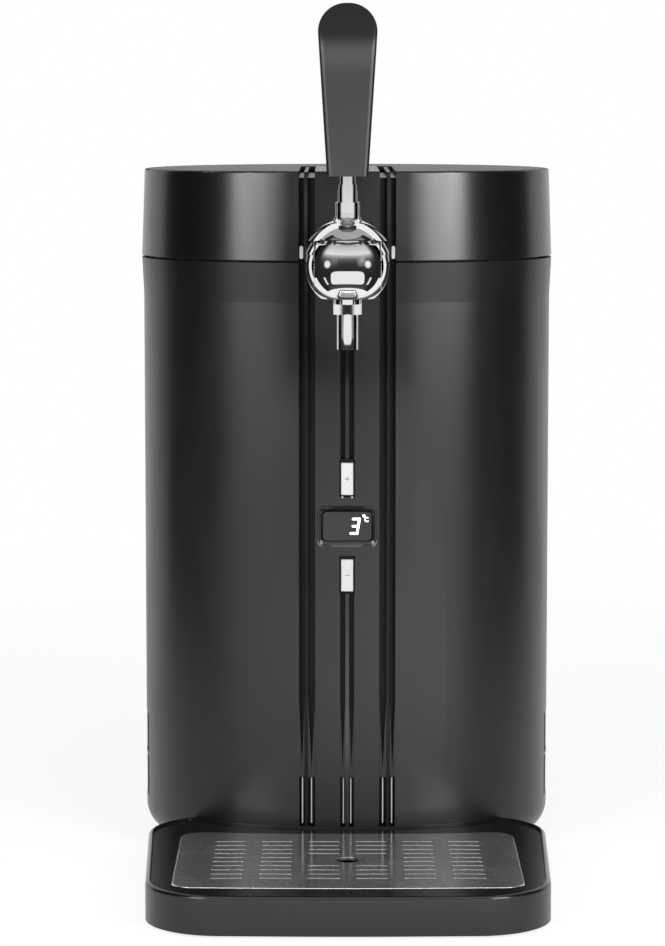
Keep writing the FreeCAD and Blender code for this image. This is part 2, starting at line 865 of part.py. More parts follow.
# How far back the lower spine's rear corners reach, with a gap behind them
spineArc = S.frontRadius - spineBack
spineCorner = (
    S.frontRadius - S.frontDepth - root(spineArc * spineArc - spineHalf * spineHalf) + S.pieceGap
)
lid()


# ---- keg well, deck, insulation and seal ----

couplerAngle = -18.0
couplerX = S.hoseArc * math.cos(math.radians(couplerAngle))
couplerY = S.wellCentre + S.hoseArc * math.sin(math.radians(couplerAngle))
wellOuter = S.wellRadius + S.wellWall
inletFront = S.wellCentre + wellOuter + S.inletClearance
coldTop = S.wellFloor - S.wellWall
coldBottom = coldTop - S.coldBlockThick
tapRoom = (both(24), (bandFront, bandFront + 26))


def kegWell():
    body = doc.addObject("PartDesign::Body", "keg_well")
    profile = sketchOn(body, "well_profile", "XZ_Plane")
    rim = deckTop + S.wellWall
    lip = S.wellRadius + S.wellLip
    polygon(profile, [
        (0, coldTop, 0), (wellOuter, coldTop, 0), (wellOuter, deckTop, 0), (lip, deckTop, 0),
        (lip, rim, 0), (S.wellRadius, rim, 0), (S.wellRadius, S.wellFloor, 0), (0, S.wellFloor, 0),
    ])
    turned = body.newObject("PartDesign::Revolution", "well_turned")
    turned.Profile = profile
    turned.ReferenceAxis = (profile, ["V_Axis"])
    turned.Angle = 360
    put(body, 0, S.wellCentre, 0)
    subPart("keg_well", body)


def deck():
    plate = slab("deck_plate", S.shellWall + S.pieceGap, deckBottom, deckTop)
    centre = (0, S.wellCentre)
    plate = cut(
        "top_deck", plate,
        rod("deck_bore", wellOuter + S.pieceGap, (0, aboveAll), centre),
        rod("dock_bore", 4.6, (0, aboveAll), (couplerX, couplerY)),
        box("deck_spine_room", both(spineHalf + S.pieceGap), (-farAway, spineCorner), (0, aboveAll)),
        box("deck_tap_room", *tapRoom, (0, aboveAll)),
    )
    subPart("top_deck", plate)


def insulation():
    block = slab("foam_block", S.shellWall + S.pieceGap, S.plenumTop, deckBottom)
    coldHalf = S.coldBlock / 2 + S.pieceGap
    foam = cut(
        "well_insulation", block,
        rod("foam_bore", wellOuter + S.pieceGap, (coldTop - S.pieceGap, aboveAll), (0, S.wellCentre)),
        box("foam_cold_room", both(coldHalf), (S.wellCentre - coldHalf, S.wellCentre + coldHalf),
            (0, S.wellFloor)),
        box("foam_spine_room", both(spineHalf + S.pieceGap), (-farAway, spineCorner), (0, aboveAll)),
        box("foam_board_room", both(24), (bandFront, boardFront + 5), (boardLow - 5, boardHigh + 5)),
        box("foam_tap_room", *tapRoom, (bossHeight - 14, aboveAll)),
        rod("foam_dock_bore", 5, (deckTop - 22, aboveAll), (couplerX, couplerY)),
        box("foam_inlet_room", (S.inletAside - 15, S.switchAside + 11), (inletFront - 0.5, farAway),
            (S.inletHeight - 14, S.inletHeight + 14)),
    )
    subPart("well_insulation", foam)


def gasket():
    top = lidBottom + S.linerLift - S.pieceGap
    ring = cut(
        "deck_gasket",
        slab("gasket_outer", S.linerSetback, deckTop, top),
        slab("gasket_inner", linerInner, deckTop - 1, top + 1),
        box("gasket_gap", tapRoom[0], (-farAway, 0), (0, aboveAll)),
    )
    subPart("deck_gasket", ring)


kegWell()
deck()
insulation()
gasket()


# ---- cooling unit under the well ----

sinkTop = coldBottom - S.peltierThick
sinkBaseLow = sinkTop - S.sinkBase


def aboutWell(half):
    """Spans in x and y that are centred on the well"""
    return both(half), (S.wellCentre - half, S.wellCentre + half)


def cooling():
    subPart("cold_block", box("cold_block", *aboutWell(S.coldBlock / 2), (coldBottom, coldTop)))
    subPart("peltier_module", box("peltier_module", *aboutWell(S.peltierSide / 2), (sinkTop, coldBottom)))
    body = doc.addObject("PartDesign::Body", "heat_sink")
    plate = sketchOn(body, "sink_plate", offset=sinkBaseLow)
    rectangle(plate, both(S.sinkSide / 2), both(S.sinkSide / 2))
    pad(body, "sink_base", plate, S.sinkBase)
    count = 2 * int((S.sinkSide.number - S.finThick.number) / 2 / S.finPitch.number) + 1
    span = S.finPitch * (count - 1)
    fin = sketchOn(body, "sink_fin", offset=sinkBaseLow)
    rectangle(fin, (-span / 2 - S.finThick / 2, -span / 2 + S.finThick / 2), both(S.sinkSide / 2))
    first = pad(body, "sink_fin_pad", fin, S.finHeight, reversed=True)
    spaced(body, "sink_fins", first, fin, "H_Axis", span, count)
    put(body, 0, S.wellCentre, 0)
    spots = [(a * S.sinkScrew, S.wellCentre + b * S.sinkScrew) for a in (-1, 1) for b in (-1, 1)]
    holes = [rod(f"sink_hole_{i}", 1.7, (0, aboveAll), spot) for i, spot in enumerate(spots)]
    subPart("heat_sink", cut("heat_sink_drilled", body, *holes))
    screws = []
    for i, spot in enumerate(spots):
        screws.append(rod(f"sink_screw_head_{i}", 3, (sinkBaseLow - 2.4, sinkBaseLow), spot))
        screws.append(rod(f"sink_screw_shank_{i}", 1.5, (sinkBaseLow, coldBottom), spot))
    subPart("heat_sink_screws", fuse("heat_sink_screws", *screws))


cooling()


# ---- fan and rear vent ----

fanBack = ventRear - S.ventPlate
fanFront = fanBack - S.fanThick
fanSpots = [(a * S.fanHoleHalf, S.fanHeight + b * S.fanHoleHalf) for a in (-1, 1) for b in (-1, 1)]
fanCentre = (0, S.fanHeight)


def aboutFan(half):
    return both(half), (S.fanHeight - half, S.fanHeight + half)


def fan():
    x, z = aboutFan(S.fanSide / 2)
    case = box("fan_case", x, (fanFront, fanBack), z)
    bore = rod("fan_bore", S.fanBore, (0, farAway), fanCentre, "y")
    holes = [rod(f"fan_hole_{i}", 2.1, (0, farAway), spot, "y") for i, spot in enumerate(fanSpots)]
    ring = cut("fan_ring", case, bore, *holes)
    motor = rod("fan_motor", 13, (fanBack - 7, fanBack), fanCentre, "y")
    axle = rod("fan_axle", 1.5, (fanFront + 4, fanBack - 6), fanCentre, "y")
    reach = S.fanBore + 1
    bars = [
        box("fan_bar_level", both(reach), (fanBack - 4, fanBack), aboutFan(sized(1.5))[1]),
        box("fan_bar_upright", both(sized(1.5)), (fanBack - 4, fanBack), aboutFan(reach)[1]),
    ]
    subPart("fan_frame", fuse("fan_frame", ring, motor, axle, *bars))
    hub = rod("fan_hub", 14, (fanFront + 3, fanBack - 7.5), fanCentre, "y")
    bladeCount = 7
    blades = []
    for i in range(bladeCount):
        turn = Rotation(Vector(0, 1, 0), 360 * i / bladeCount)
        pitch = Rotation(Vector(0, 0, 1), 38)
        blade = doc.addObject("Part::Box", f"fan_blade_{i}")
        blade.setExpression("Length", "1.6")
        blade.setExpression("Width", "15")
        blade.setExpression("Height", (S.fanBore - 13 - 1.2).text)
        corner = turn.multVec(pitch.multVec(Vector(-0.8, -7.5, 0)) + Vector(0, 0, 13))
        spot = (sized(corner.x), fanFront + 10.8 + sized(corner.y), S.fanHeight + corner.z)
        blades.append(put(blade, *spot, turn=turn * pitch))
    bore = rod("hub_bore", 1.56, (0, farAway), fanCentre, "y")
    subPart("fan_rotor", cut("fan_rotor", fuse("fan_wheel", hub, *blades), bore))
    screws = []
    for i, spot in enumerate(fanSpots):
        screws.append(rod(f"fan_screw_head_{i}", 3.5, (fanFront - 2.5, fanFront), spot, "y"))
        screws.append(rod(f"fan_screw_shank_{i}", 1.9, (fanFront, ventRear - 1), spot, "y"))
    subPart("fan_screws", fuse("fan_screws", *screws))


def rearVent():
    x, z = aboutFan(S.fanSide / 2 + 0.5)
    plate = box("vent_plate", x, (fanBack, ventRear), z)
    x, z = aboutFan(S.ventHalf - 0.2)
    boss = box("vent_boss", x, (ventRear - 1, farAway), z)
    seated = common("vent_seated", plate, lower["wall"])
    proud = common("vent_proud", boss, lower["rib"])
    slots = []
    count = 8
    for i in range(count):
        middle = S.fanHeight + (i - (count - 1) / 2) * 8.6
        slots.append(box(f"vent_slot_{i}", both(S.ventHalf - 6), (0, farAway), (middle - 2.4, middle + 2.4)))
    holes = [rod(f"vent_hole_{i}", 1.9, (0, ventRear - 1), spot, "y") for i, spot in enumerate(fanSpots)]
    subPart("rear_vent_grille", cut("rear_vent_grille", fuse("vent_block", seated, proud), *slots, *holes))


def sideVents():
    front = S.shellWall + 0.1
    outer = slab("side_vent_outer", front, S.lowVentBottom - 4, S.highVentTop + 4)
    inner = slab("side_vent_inner", front + 2, S.lowVentBottom - 5, S.highVentTop + 5)
    sheet = cut("side_vent_sheet", outer, inner)
    side = (S.halfWidth - 25, farAway)
    room = box("side_vent_room", side, (S.ventFront - 4, S.ventBack + 4), (0, aboveAll))
    panel = common("side_vent_panel", sheet, room)
    pitch = 6.4
    count = int((S.ventBack.number - S.ventFront.number) / pitch)
    start = (S.ventFront + S.ventBack) / 2 - pitch * (count - 1) / 2
    slots = [
        box(f"side_slot_{i}", side, (start + pitch * i - 1.7, start + pitch * i + 1.7),
            (S.lowVentBottom + 2, S.highVentTop - 2))
        for i in range(count)
    ]
    face = slab("side_vent_face", S.ventFlush, S.lowVentBottom - 4, S.highVentTop + 4)
    bars = cut("side_vent_bars", face, slab("side_vent_behind", front + 1, S.lowVentBottom - 5, S.highVentTop + 5))
    gap = S.pieceGap
    depth = (S.ventFront + gap, S.ventBack - gap)
    windows = fuse(
        "side_vent_windows",
        box("side_window_low", side, depth, (S.lowVentBottom + gap, S.lowVentTop - gap)),
        box("side_window_high", side, depth, (S.highVentBottom + gap, S.highVentTop - gap)),
    )
    vent = cut("right_side_vent", fuse("side_vent_block", panel, common("side_vent_proud", bars, windows)), *slots)
    subPart("right_side_vent", vent)
    subPart("left_side_vent", mirrored("left_side_vent", vent), moved=True)


fan()
rearVent()
sideVents()


# ---- base, feet and electronics ----

panTop = S.footHeight + S.shellWall * 2
panInset = S.bottomRound + 2 + S.pieceGap
postSpots = [(a * (S.halfWidth - S.postInset), S.postSetback - S.frontDepth) for a in (-1, 1)]
postSpots += [(a * (S.halfWidth - S.rearPostInset), S.rearDepth - S.rearPostSetback) for a in (-1, 1)]
footSpots = [(a * (S.halfWidth - S.footInset), S.footSetback - S.frontDepth) for a in (-1, 1)]
footSpots += [(a * (S.halfWidth - S.rearFootInset), S.rearDepth - S.rearFootSetback) for a in (-1, 1)]
powerBoardFront = S.powerBoardSetback - S.frontDepth
powerBoardBack = powerBoardFront + S.powerBoardReach
boardPosts = [
    (a * (S.powerBoardHalf - S.boardPostInset), y)
    for a in (-1, 1) for y in (powerBoardFront + S.boardPostInset, powerBoardBack - S.boardPostInset)
]
boardLevel = panTop + 4


def base():
    plug = slab("pan_plug", panInset, S.footHeight, S.footHeight + S.shellWall)
    flange = slab("pan_flange", S.bottomRound + S.pieceGap, S.footHeight + S.shellWall, panTop)
    posts = [rod(f"foam_post_{i}", S.postRadius, (panTop - 1, S.plenumTop), spot) for i, spot in enumerate(postSpots)]
    pegs = [rod(f"board_post_{i}", S.boardPostRadius, (panTop - 1, boardLevel), spot) for i, spot in enumerate(boardPosts)]
    rows = [S.wellCentre + S.intakePitch * (i - 3.5) for i in range(8)]
    slots = [
        box(f"intake_{i}", both(S.intakeHalf), (row - S.intakeWidth / 2, row + S.intakeWidth / 2), (0, panTop + 1))
        for i, row in enumerate(rows)
    ]
    subPart("base_pan", cut("base_pan", fuse("pan_solid", plug, flange, *posts, *pegs), *slots))
    feet = [rod(f"foot_{i}", S.footRadius, (0, S.footHeight), spot) for i, spot in enumerate(footSpots)]
    subPart("rubber_feet", fuse("rubber_feet", *feet))


def electronics():
    top = boardLevel + S.boardThick
    depth = (powerBoardFront, powerBoardBack)
    subPart("power_board", box("power_board", both(S.powerBoardHalf), depth, (boardLevel, top)))
    subPart("transformer", box(
        "transformer", (-S.transformerWidth, 0),
        (powerBoardFront + S.transformerInset, powerBoardBack - S.transformerInset), (top, top + S.transformerHeight),
    ))
    radius, height = S.capacitorRadius, (top, top + S.capacitorHeight)
    row = powerBoardFront + S.powerBoardReach / 2
    subPart("capacitors", fuse(
        "capacitors",
        rod("capacitor_left", radius, height, (radius * 2 - 1, row)),
        rod("capacitor_right", radius, height, (radius * 4, row)),
    ))


def bezel(name, x, halfWidth, proud, halfHeight):
    """A flange that follows the housing's back and stands proud of its middle"""
    block = socketBox(name + "_block", x, halfWidth, (S.rearDepth - 8, S.rearDepth + proud), halfHeight)
    return cut(name, block, lower["skin"])


def inlet():
    x = S.inletAside
    face = S.rearDepth + 2.2
    floor = inletFront + S.inletBack
    body = socketBox("inlet_body", x, 13.8, (inletFront, face), 9.8)
    well = socketBox("inlet_well", x, 11, (floor, face + 1), 6.5)
    pins = [
        box(f"inlet_pin_{i}", (x + aside - 1, x + aside + 1), (floor - 1, S.rearDepth - 2),
            (S.inletHeight + lift - 2, S.inletHeight + lift + 2))
        for i, (aside, lift) in enumerate(((-7, -1), (0, 2), (7, -1)))
    ]
    case = cut("inlet_case", fuse("inlet_solid", body, bezel("inlet_bezel", x, 17, 2.2, 13)), well)
    subPart("power_inlet", fuse("power_inlet", case, *pins))


rockerTilt = -8.0


def powerSwitch():
    x = S.switchAside
    pivot = S.rearDepth - 3
    face = S.rearDepth + 1.6
    body = socketBox("switch_body", x, 9.3, (S.rearDepth - 14, face), 12)
    well = socketBox("switch_well", x, 7.2, (S.rearDepth - 10, face + 1), 10)
    hole = rod("switch_axle_hole", 1.56, (x - 8.1, x + 8.1), (pivot, S.inletHeight), "x")
    block = fuse("switch_solid", body, bezel("switch_bezel", x, 11.5, 1.6, 14))
    subPart("switch_housing", cut("switch_housing", block, well, hole))
    rocker = doc.addObject("PartDesign::Body", "switch_rocker")
    profile = sketchOn(rocker, "rocker_profile", "YZ_Plane")
    polygon(profile, [(-3, -8.6, 0), (4.6, -8.6, 0.8), (3.9, 0, 0), (4.6, 8.6, 0.8), (-3, 8.6, 0)])
    pad(rocker, "rocker_pad", profile, 13.6, midplane=True)
    axle = sketchOn(rocker, "rocker_axle", "YZ_Plane")
    circle(axle, 1.5, 0, 0)
    pad(rocker, "rocker_axle_pad", axle, 16, midplane=True)
    put(rocker, x, pivot, S.inletHeight, turn=Rotation(Vector(1, 0, 0), rockerTilt))
    subPart("switch_rocker", rocker)


base()
electronics()
inlet()
powerSwitch()


# ---- tap ----

tapCentre = (0, tapY, tapHeight)
tapFoot = tapHeight - S.ballBottom
shankFront = tapY + S.ballBack
hoseY = S.wellCentre - S.hoseArc
plungerLow = tapHeight - 12
plungerHigh = tapHeight + 2
springTop = plungerHigh + 12


def tapBody():
    globe = ball("tap_globe", S.ballRadius, tapCentre)
    room = box("globe_room", both(S.ballHalf), (-farAway, shankFront), (tapFoot, aboveAll))
    foot = rod("globe_foot", S.spoutRadius + 2, (nutTop, tapFoot + 1), (0, tapY))
    bore = S.pivotRadius + 0.06
    inner = S.ballHalf - 8
    pivot = (tapY, tapHeight)
    subPart("tap_body", cut(
        "tap_body", fuse("globe_block", common("globe_trimmed", globe, room), foot),
        rod("plunger_bore", S.plungerRadius + 0.1, (0, springTop), (0, tapY)),
        rod("shank_port", 4, (tapY, farAway), (0, tapHeight), "y"),
        rod("pivot_bore_right", bore, (inner, farAway), pivot, "x"),
        rod("pivot_bore_left", bore, (-farAway, -inner), pivot, "x"),
    ))


def nut(name, across, at, height, bore, axis="z"):
    """A hexagon nut that stands at a point and reaches along an axis"""
    hexagon = doc.addObject("Part::Prism", name + "_hexagon")
    hexagon.Polygon = 6
    hexagon.setExpression("Circumradius", sized(across).text)
    hexagon.setExpression("Height", sized(height).text)
    put(hexagon, *at, turn=along[axis] * Rotation(Vector(0, 0, 1), 90))
    if axis == "z":
        hole = rod(name + "_bore", bore, (at[2] - 1, at[2] + height + 1), at[:2])
    else:
        hole = rod(name + "_bore", bore, (at[1] - 1, at[1] + height + 1), (at[0], at[2]), "y")
    turned = doc.addObject("Part::Cone", name + "_turned")
    turned.setExpression("Radius1", (sized(across) * 0.89).text)
    turned.setExpression("Radius2", (sized(across) * 0.89 + height * 1.732).text)
    turned.setExpression("Height", sized(height).text)
    put(turned, *at, turn=along[axis])
    return cut(name, common(name + "_chamfered", hexagon, turned), hole)


def spout():
    height = nutTop - nutBottom
    subPart("spout_nut", nut("spout_nut", S.nutRadius, (0, tapY, nutBottom), height, S.spoutRadius))
    span = (spoutBottom, nutTop)
    tube = rod("spout_outside", S.spoutRadius, span, (0, tapY))
    bore = rod("spout_inside", S.spoutBore, (spoutBottom - 1, nutTop + 1), (0, tapY))
    subPart("spout_tube", cut("spout_tube", tube, bore))


def valve():
    subPart("tap_plunger", rod("tap_plunger", S.plungerRadius, (plungerLow, plungerHigh), (0, tapY)))
    wire = 0.5
    coil = doc.addObject("Part::Helix", "spring_line")
    coil.Radius = 3.6
    coil.Pitch = 2.2
    coil.setExpression("Height", (springTop - plungerHigh - 2 * wire).text)
    section = doc.addObject("Part::Circle", "spring_wire")
    section.Radius = wire
    section.Placement = Placement(Vector(3.6, 0, 0), Rotation(Vector(1, 0, 0), 90))
    doc.recompute()
    spring = doc.addObject("Part::Sweep", "plunger_spring")
    spring.Sections = [section]
    spring.Spine = (coil, [f"Edge{i + 1}" for i in range(len(coil.Shape.Edges))])
    spring.Solid = True
    spring.Frenet = True
    put(spring, 0, tapY, plungerHigh + wire)
    subPart("plunger_spring", spring)


def yoke():
    wall = ball("yoke_dome", S.domeRadius, tapCentre)
    reach = S.domeRadius + 1
    ahead = (tapY - reach, tapY + reach)
    inside = S.ballHalf + 0.3
    skirt = tapHeight + S.domeCut
    shoulder = skirt - 1
    room = doc.addObject("PartDesign::Body", "yoke_cap_room")
    arch = sketchOn(room, "yoke_arch", "XZ_Plane", offset=S.tapForward)
    polygon(arch, [
        (-reach, shoulder, 0), (-inside, shoulder, 0), (5 - inside, skirt, 0), (inside - 5, skirt, 0),
        (inside, shoulder, 0), (reach, shoulder, 0), (reach, aboveAll, 0), (-reach, aboveAll, 0),
    ])
    pad(room, "yoke_arch_pad", arch, 2 * reach, midplane=True)
    cap = common("yoke_cap", wall, room)
    arms = common(
        "yoke_arms",
        ball("yoke_arm_form", S.ballRadius + 0.8, tapCentre),
        cut("yoke_arm_room",
            box("yoke_arm_block", both(reach), (tapY - 13, tapY + 13), (tapHeight + 7, skirt)),
            box("yoke_arm_gap", both(inside), ahead, (0, aboveAll))),
    )
    ears = ball("yoke_ears", S.ballRadius, tapCentre)
    hollow = common(
        "yoke_hollow", ball("yoke_inside", S.ballRadius + 0.4, tapCentre),
        box("yoke_hollow_room", both(inside), ahead, (0, aboveAll)),
    )
    earsRoom = box("yoke_ears_room", both(inside), ahead, (0, tapHeight + S.ballRadius))
    neck = rod("yoke_neck", S.neckRadius, (tapHeight + S.ballRadius - 2, neckTop), (0, tapY))
    whole = fuse("yoke_block", cap, arms, cut("yoke_ears_split", ears, earsRoom), neck)
    doc.recompute()
    flare = doc.addObject("Part::Fillet", "yoke_flare")
    flare.Base = whole
    foot = root(S.domeRadius * S.domeRadius - S.neckRadius * S.neckRadius).number + tapHeight.number
    flare.Edges = [
        (i, 4.5, 4.5) for i, edge in enumerate(whole.Shape.Edges, start=1)
        if hasattr(edge.Curve, "Radius") and abs(edge.Curve.Radius - S.neckRadius.number) < 0.01
        and abs(edge.Curve.Center.z - foot) < 0.1
    ]
    pivot = (tapY, tapHeight)
    holes = [
        rod("yoke_hole_right", S.pivotRadius, (inside - 1, inside + 1.7), pivot, "x"),
        rod("yoke_hole_left", S.pivotRadius, (-inside - 1.7, 1 - inside), pivot, "x"),
    ]
    subPart("lever_yoke", cut("lever_yoke", flare, hollow, *holes))
    pins = [
        rod("yoke_pin_right", S.pivotRadius, (inside - 8, inside + 1.7), pivot, "x"),
        rod("yoke_pin_left", S.pivotRadius, (-inside - 1.7, 8 - inside), pivot, "x"),
    ]
    subPart("yoke_pins", fuse("yoke_pins", *pins))


def handle():
    subPart("lever_stem", fuse(
        "lever_stem",
        rod("stem_collar", S.stemRadius, (neckTop, stemTop), (0, tapY)),
        rod("stem_tip", S.tipRadius, (stemTop, handleBottom), (0, tapY)),
        rod("stem_stud", 3, (handleBottom, handleBottom + 20), (0, tapY)),
    ))
    depth = 22
    span = (handleBottom, handleBottom + depth)
    subPart("handle_insert", cut(
        "handle_insert",
        rod("insert_outside", 5.5, span, (0, tapY)),
        rod("insert_inside", 3, (handleBottom - 1, handleBottom + depth + 1), (0, tapY)),
    ))
    front = doc.addObject("PartDesign::Body", "handle_front")
    outline = sketchOn(front, "handle_outline", "XZ_Plane", offset=S.tapForward)
    topHalf = S.handleHalf + 1.1
    polygon(outline, [
        (-S.handleFootHalf, handleBottom, 0), (S.handleFootHalf, handleBottom, 0),
        (topHalf, handleTop, 17), (-topHalf, handleTop, 17),
    ])
    pad(front, "handle_front_pad", outline, 50, midplane=True)
    side = doc.addObject("PartDesign::Body", "handle_side")
    profile = sketchOn(side, "handle_profile", "YZ_Plane")
    polygon(profile, [
        (tapY - 9, handleBottom, 0), (tapY + 7, handleBottom, 0),
        (tapY + 9.5, handleTop, 0), (tapY - 5, handleTop, 0), (tapY - 12, handleKnee, 40),
    ])
    pad(side, "handle_side_pad", profile, 60, midplane=True)
    block = common("handle_block", front, side)
    doc.recompute()
    edges = []
    for i, edge in enumerate(block.Shape.Edges, start=1):
        way = edge.tangentAt((edge.FirstParameter + edge.LastParameter) / 2)
        atTop = abs(edge.CenterOfMass.z - handleTop.number) < 0.01
        if abs(way.z) > 0.15 or (atTop and abs(way.x) > 0.9):
            edges.append((i, 2.4, 2.4))
    rounded = doc.addObject("Part::Fillet", "handle_rounded")
    rounded.Base = block
    rounded.Edges = edges
    room = rod("handle_room", 5.5, (handleBottom - 1, handleBottom + depth), (0, tapY))
    subPart("tap_handle", cut("tap_handle", rounded, room))


tapBody()
spout()
valve()
yoke()
handle()


# ---- how the tap is held, and the line that feeds it ----

shankBack = bracketBack + 4.5
elbow = (shankBack, hoseY + 4)


def arcRod(name, radius, start, sweep):
    """A bent rod on the hose's arc, between two angles about the well's axis"""
    made = doc.addObject("Part::Torus", name)
    made.setExpression("Radius1", "sizes.hoseArc")
    made.setExpression("Radius2", sized(radius).text)
    made.Angle3 = sweep
    return put(made, 0, S.wellCentre, tapHeight, turn=Rotation(Vector(0, 0, 1), start))


def shank():
    at = (0, tapHeight)
    subPart("tap_shank", cut(
        "tap_shank",
        fuse(
            "shank_solid",
            rod("shank_rod", S.shankRadius, (shankFront, shankBack), at, "y"),
            box("shank_elbow", both(6), elbow, (tapHeight - 6, tapHeight + 6)),
            arcRod("shank_barb", S.hoseBore - 0.05, -88, 8),
        ),
        rod("shank_bore", 4, (-farAway, hoseY), at, "y"),
    ))
    skinFront = bandFront - S.flareReach
    subPart("tap_escutcheon", cut(
        "tap_escutcheon",
        fuse(
            "escutcheon_solid",
            rod("escutcheon_hub", 11, (shankFront, skinFront - 0.4), at, "y"),
            rod("escutcheon_disc", 16, (skinFront - 2.2, skinFront - 0.4), at, "y"),
        ),
        rod("escutcheon_bore", S.shankRadius, (-farAway, 0), at, "y"),
    ))
    subPart("shank_nut", nut("shank_nut", 11, (0, bracketBack, tapHeight), sized(4), S.shankRadius, "y"))
    plate = box("bracket_plate", both(22), (bracketFront, bracketBack), (bossHeight - 10, tapHeight + 12.6))
    holes = [rod(f"bracket_hole_{i}", 1.6, (-farAway, 0), spot, "y") for i, spot in enumerate(bosses)]
    subPart("tap_bracket", cut(
        "tap_bracket", plate, rod("bracket_bore", S.shankRadius, (-farAway, 0), at, "y"), *holes
    ))
    screws = []
    for i, spot in enumerate(bosses):
        screws.append(rod(f"bracket_screw_head_{i}", 3, (bracketBack, bracketBack + 2), spot, "y"))
        screws.append(rod(f"bracket_screw_shank_{i}", 1.5, (bracketFront - 3.8, bracketBack), spot, "y"))
    subPart("bracket_screws", fuse("bracket_screws", *screws))


def line():
    start, sweep = -86.5, 61.75
    subPart("beer_line", cut(
        "beer_line",
        arcRod("line_outside", S.hoseRadius, start, sweep),
        arcRod("line_inside", S.hoseBore, start - 1, sweep + 2),
    ))
    at = (couplerX, couplerY)
    foot = deckTop + S.wellWall
    subPart("keg_coupler", fuse(
        "keg_coupler",
        rod("coupler_body", 12, (foot, foot + 16.5), at),
        rod("coupler_cap", 8, (foot + 16.5, foot + 24.5), at),
        rod("coupler_probe", 4, (foot - 19.5, foot), at),
        arcRod("coupler_barb", S.hoseBore - 0.05, couplerAngle - 13, 8),
    ))


shank()
line()


# ---- lid hinge ----

def hinge():
    axis = (hingeDepth, hingeHeight)
    back = hingeDepth + S.knuckleRadius
    barrel = rod("arm_barrel", S.knuckleRadius, both(S.hingeInner), axis, "x")
    plate = box("arm_plate", both(S.hingeInner - 3.6), (S.rearDepth - 4, hingeDepth),
                (lidBottom + 0.5, hingeHeight + 10))
    subPart("lid_hinge_arm", cut(
        "lid_hinge_arm", fuse("arm_solid", barrel, plate), upper["skin"],
        rod("arm_bore", S.hingePin + 0.06, both(farAway), axis, "x"),
    ))
    low = S.seamHeight - 23.5
    base = box("bracket_base", both(S.hingeOuter), (S.rearDepth - 10, S.rearDepth + 3), (low, low + 20))
    arms, knuckles = [], []
    for side in (-1, 1):
        inner, outer = S.hingeInner + 0.4, S.hingeOuter
        x = (inner, outer) if side > 0 else (-outer, -inner)
        arms.append(box(f"bracket_arm_{side + 1}", x, (S.rearDepth - 6, back),
                        (low + 14, S.seamHeight)))
        arms.append(box(f"bracket_web_{side + 1}", x, (hingeDepth - 4, back),
                        (S.seamHeight - 1, hingeHeight)))
        knuckles.append(rod(f"bracket_knuckle_{side + 1}", S.knuckleRadius, x, axis, "x"))
    subPart("hinge_bracket", cut(
        "hinge_bracket", fuse("bracket_solid", base, *arms, *knuckles), lower["skin"],
        rod("bracket_pin_hole", S.hingePin, both(farAway), axis, "x"),
    ))
    subPart("hinge_pin", rod("hinge_pin", S.hingePin, both(S.hingeOuter + 1), axis, "x"))


hinge()


# ---- drip tray and its grille ----

ledgeTop = S.trayHeight - S.ledgeDrop
grilleLow = ledgeTop - S.grilleThick


def trayPlan(name, inset, low, high):
    """The tray's plan moved inwards by inset, as a prism"""
    body = doc.addObject("PartDesign::Body", name)
    plan = sketchOn(body, name + "_plan", offset=low)
    cornerY = S.trayBow - S.trayFront
    polygon(plan, [
        (S.trayRearHalf - inset, -S.trayRear - inset, S.trayRearCorner - inset),
        (-(S.trayRearHalf - inset), -S.trayRear - inset, S.trayRearCorner - inset),
        (inset - S.trayFrontHalf, cornerY + inset, S.trayCorner - inset),
        (0, inset - S.trayFront, S.trayBowRadius),
        (S.trayFrontHalf - inset, cornerY + inset, S.trayCorner - inset),
    ])
    pad(body, name + "_pad", plan, sized(high) - low)
    return body


def grilleOutline(sketch, grow):
    """The grille's outline moved outwards by grow: it follows the tray's bow and the housing's front"""
    half, corner = S.grilleWidth / 2 + grow, S.grilleCorner + grow
    rear, front = grow - S.grilleRear, S.grilleFrontBow - S.grilleFront - grow
    polygon(sketch, [
        (half, rear, corner),
        (0, rear - S.grilleRearBow, S.grilleRearRadius - grow),
        (-half, rear, corner),
        (-half, front, corner),
        (0, front - S.grilleFrontBow, S.trayBowRadius + grow),
        (half, front, corner),
    ])


def grillePlan(name, grow, low, high):
    body = doc.addObject("PartDesign::Body", name)
    plan = sketchOn(body, name + "_plan", offset=low)
    grilleOutline(plan, grow)
    pad(body, name + "_pad", plan, sized(high) - low)
    return body


def tray():
    top = S.trayHeight
    block = trayPlan("tray_block", sized(0), S.trayFoot, top)
    doc.recompute()
    dress(block, "Fillet", "tray_edge_round", block.Tip, edgesAt(block.Tip.Shape, top), S.trayEdgeRound)
    rimInside = trayPlan("tray_rim_inside", S.trayRim, ledgeTop, top + 1)
    housing = slab("tray_housing_room", -S.trayClearance, 0, top + 2)
    housingRim = slab("tray_housing_rim", -S.trayClearance - S.trayRim, 0, top + 2)
    subPart("drip_tray", cut(
        "drip_tray", block, housing, cut("tray_ledge_room", rimInside, housingRim),
        grillePlan("tray_grille_room", sized(0.3), grilleLow, top + 1),
        grillePlan("tray_basin", -S.grilleShelf, S.trayFoot + S.trayFloor, top + 1),
    ))
    aside = S.trayFrontHalf - S.trayFootInset
    rows = (S.trayFootSetback - S.trayFront, -S.trayRear - S.trayFootReach)
    spots = [(a * aside, y) for a in (-1, 1) for y in rows]
    radius = S.trayFootRadius
    subPart("tray_feet", fuse(
        "tray_feet", *[rod(f"tray_foot_{i}", radius, (0, S.trayFoot), spot) for i, spot in enumerate(spots)]
    ))


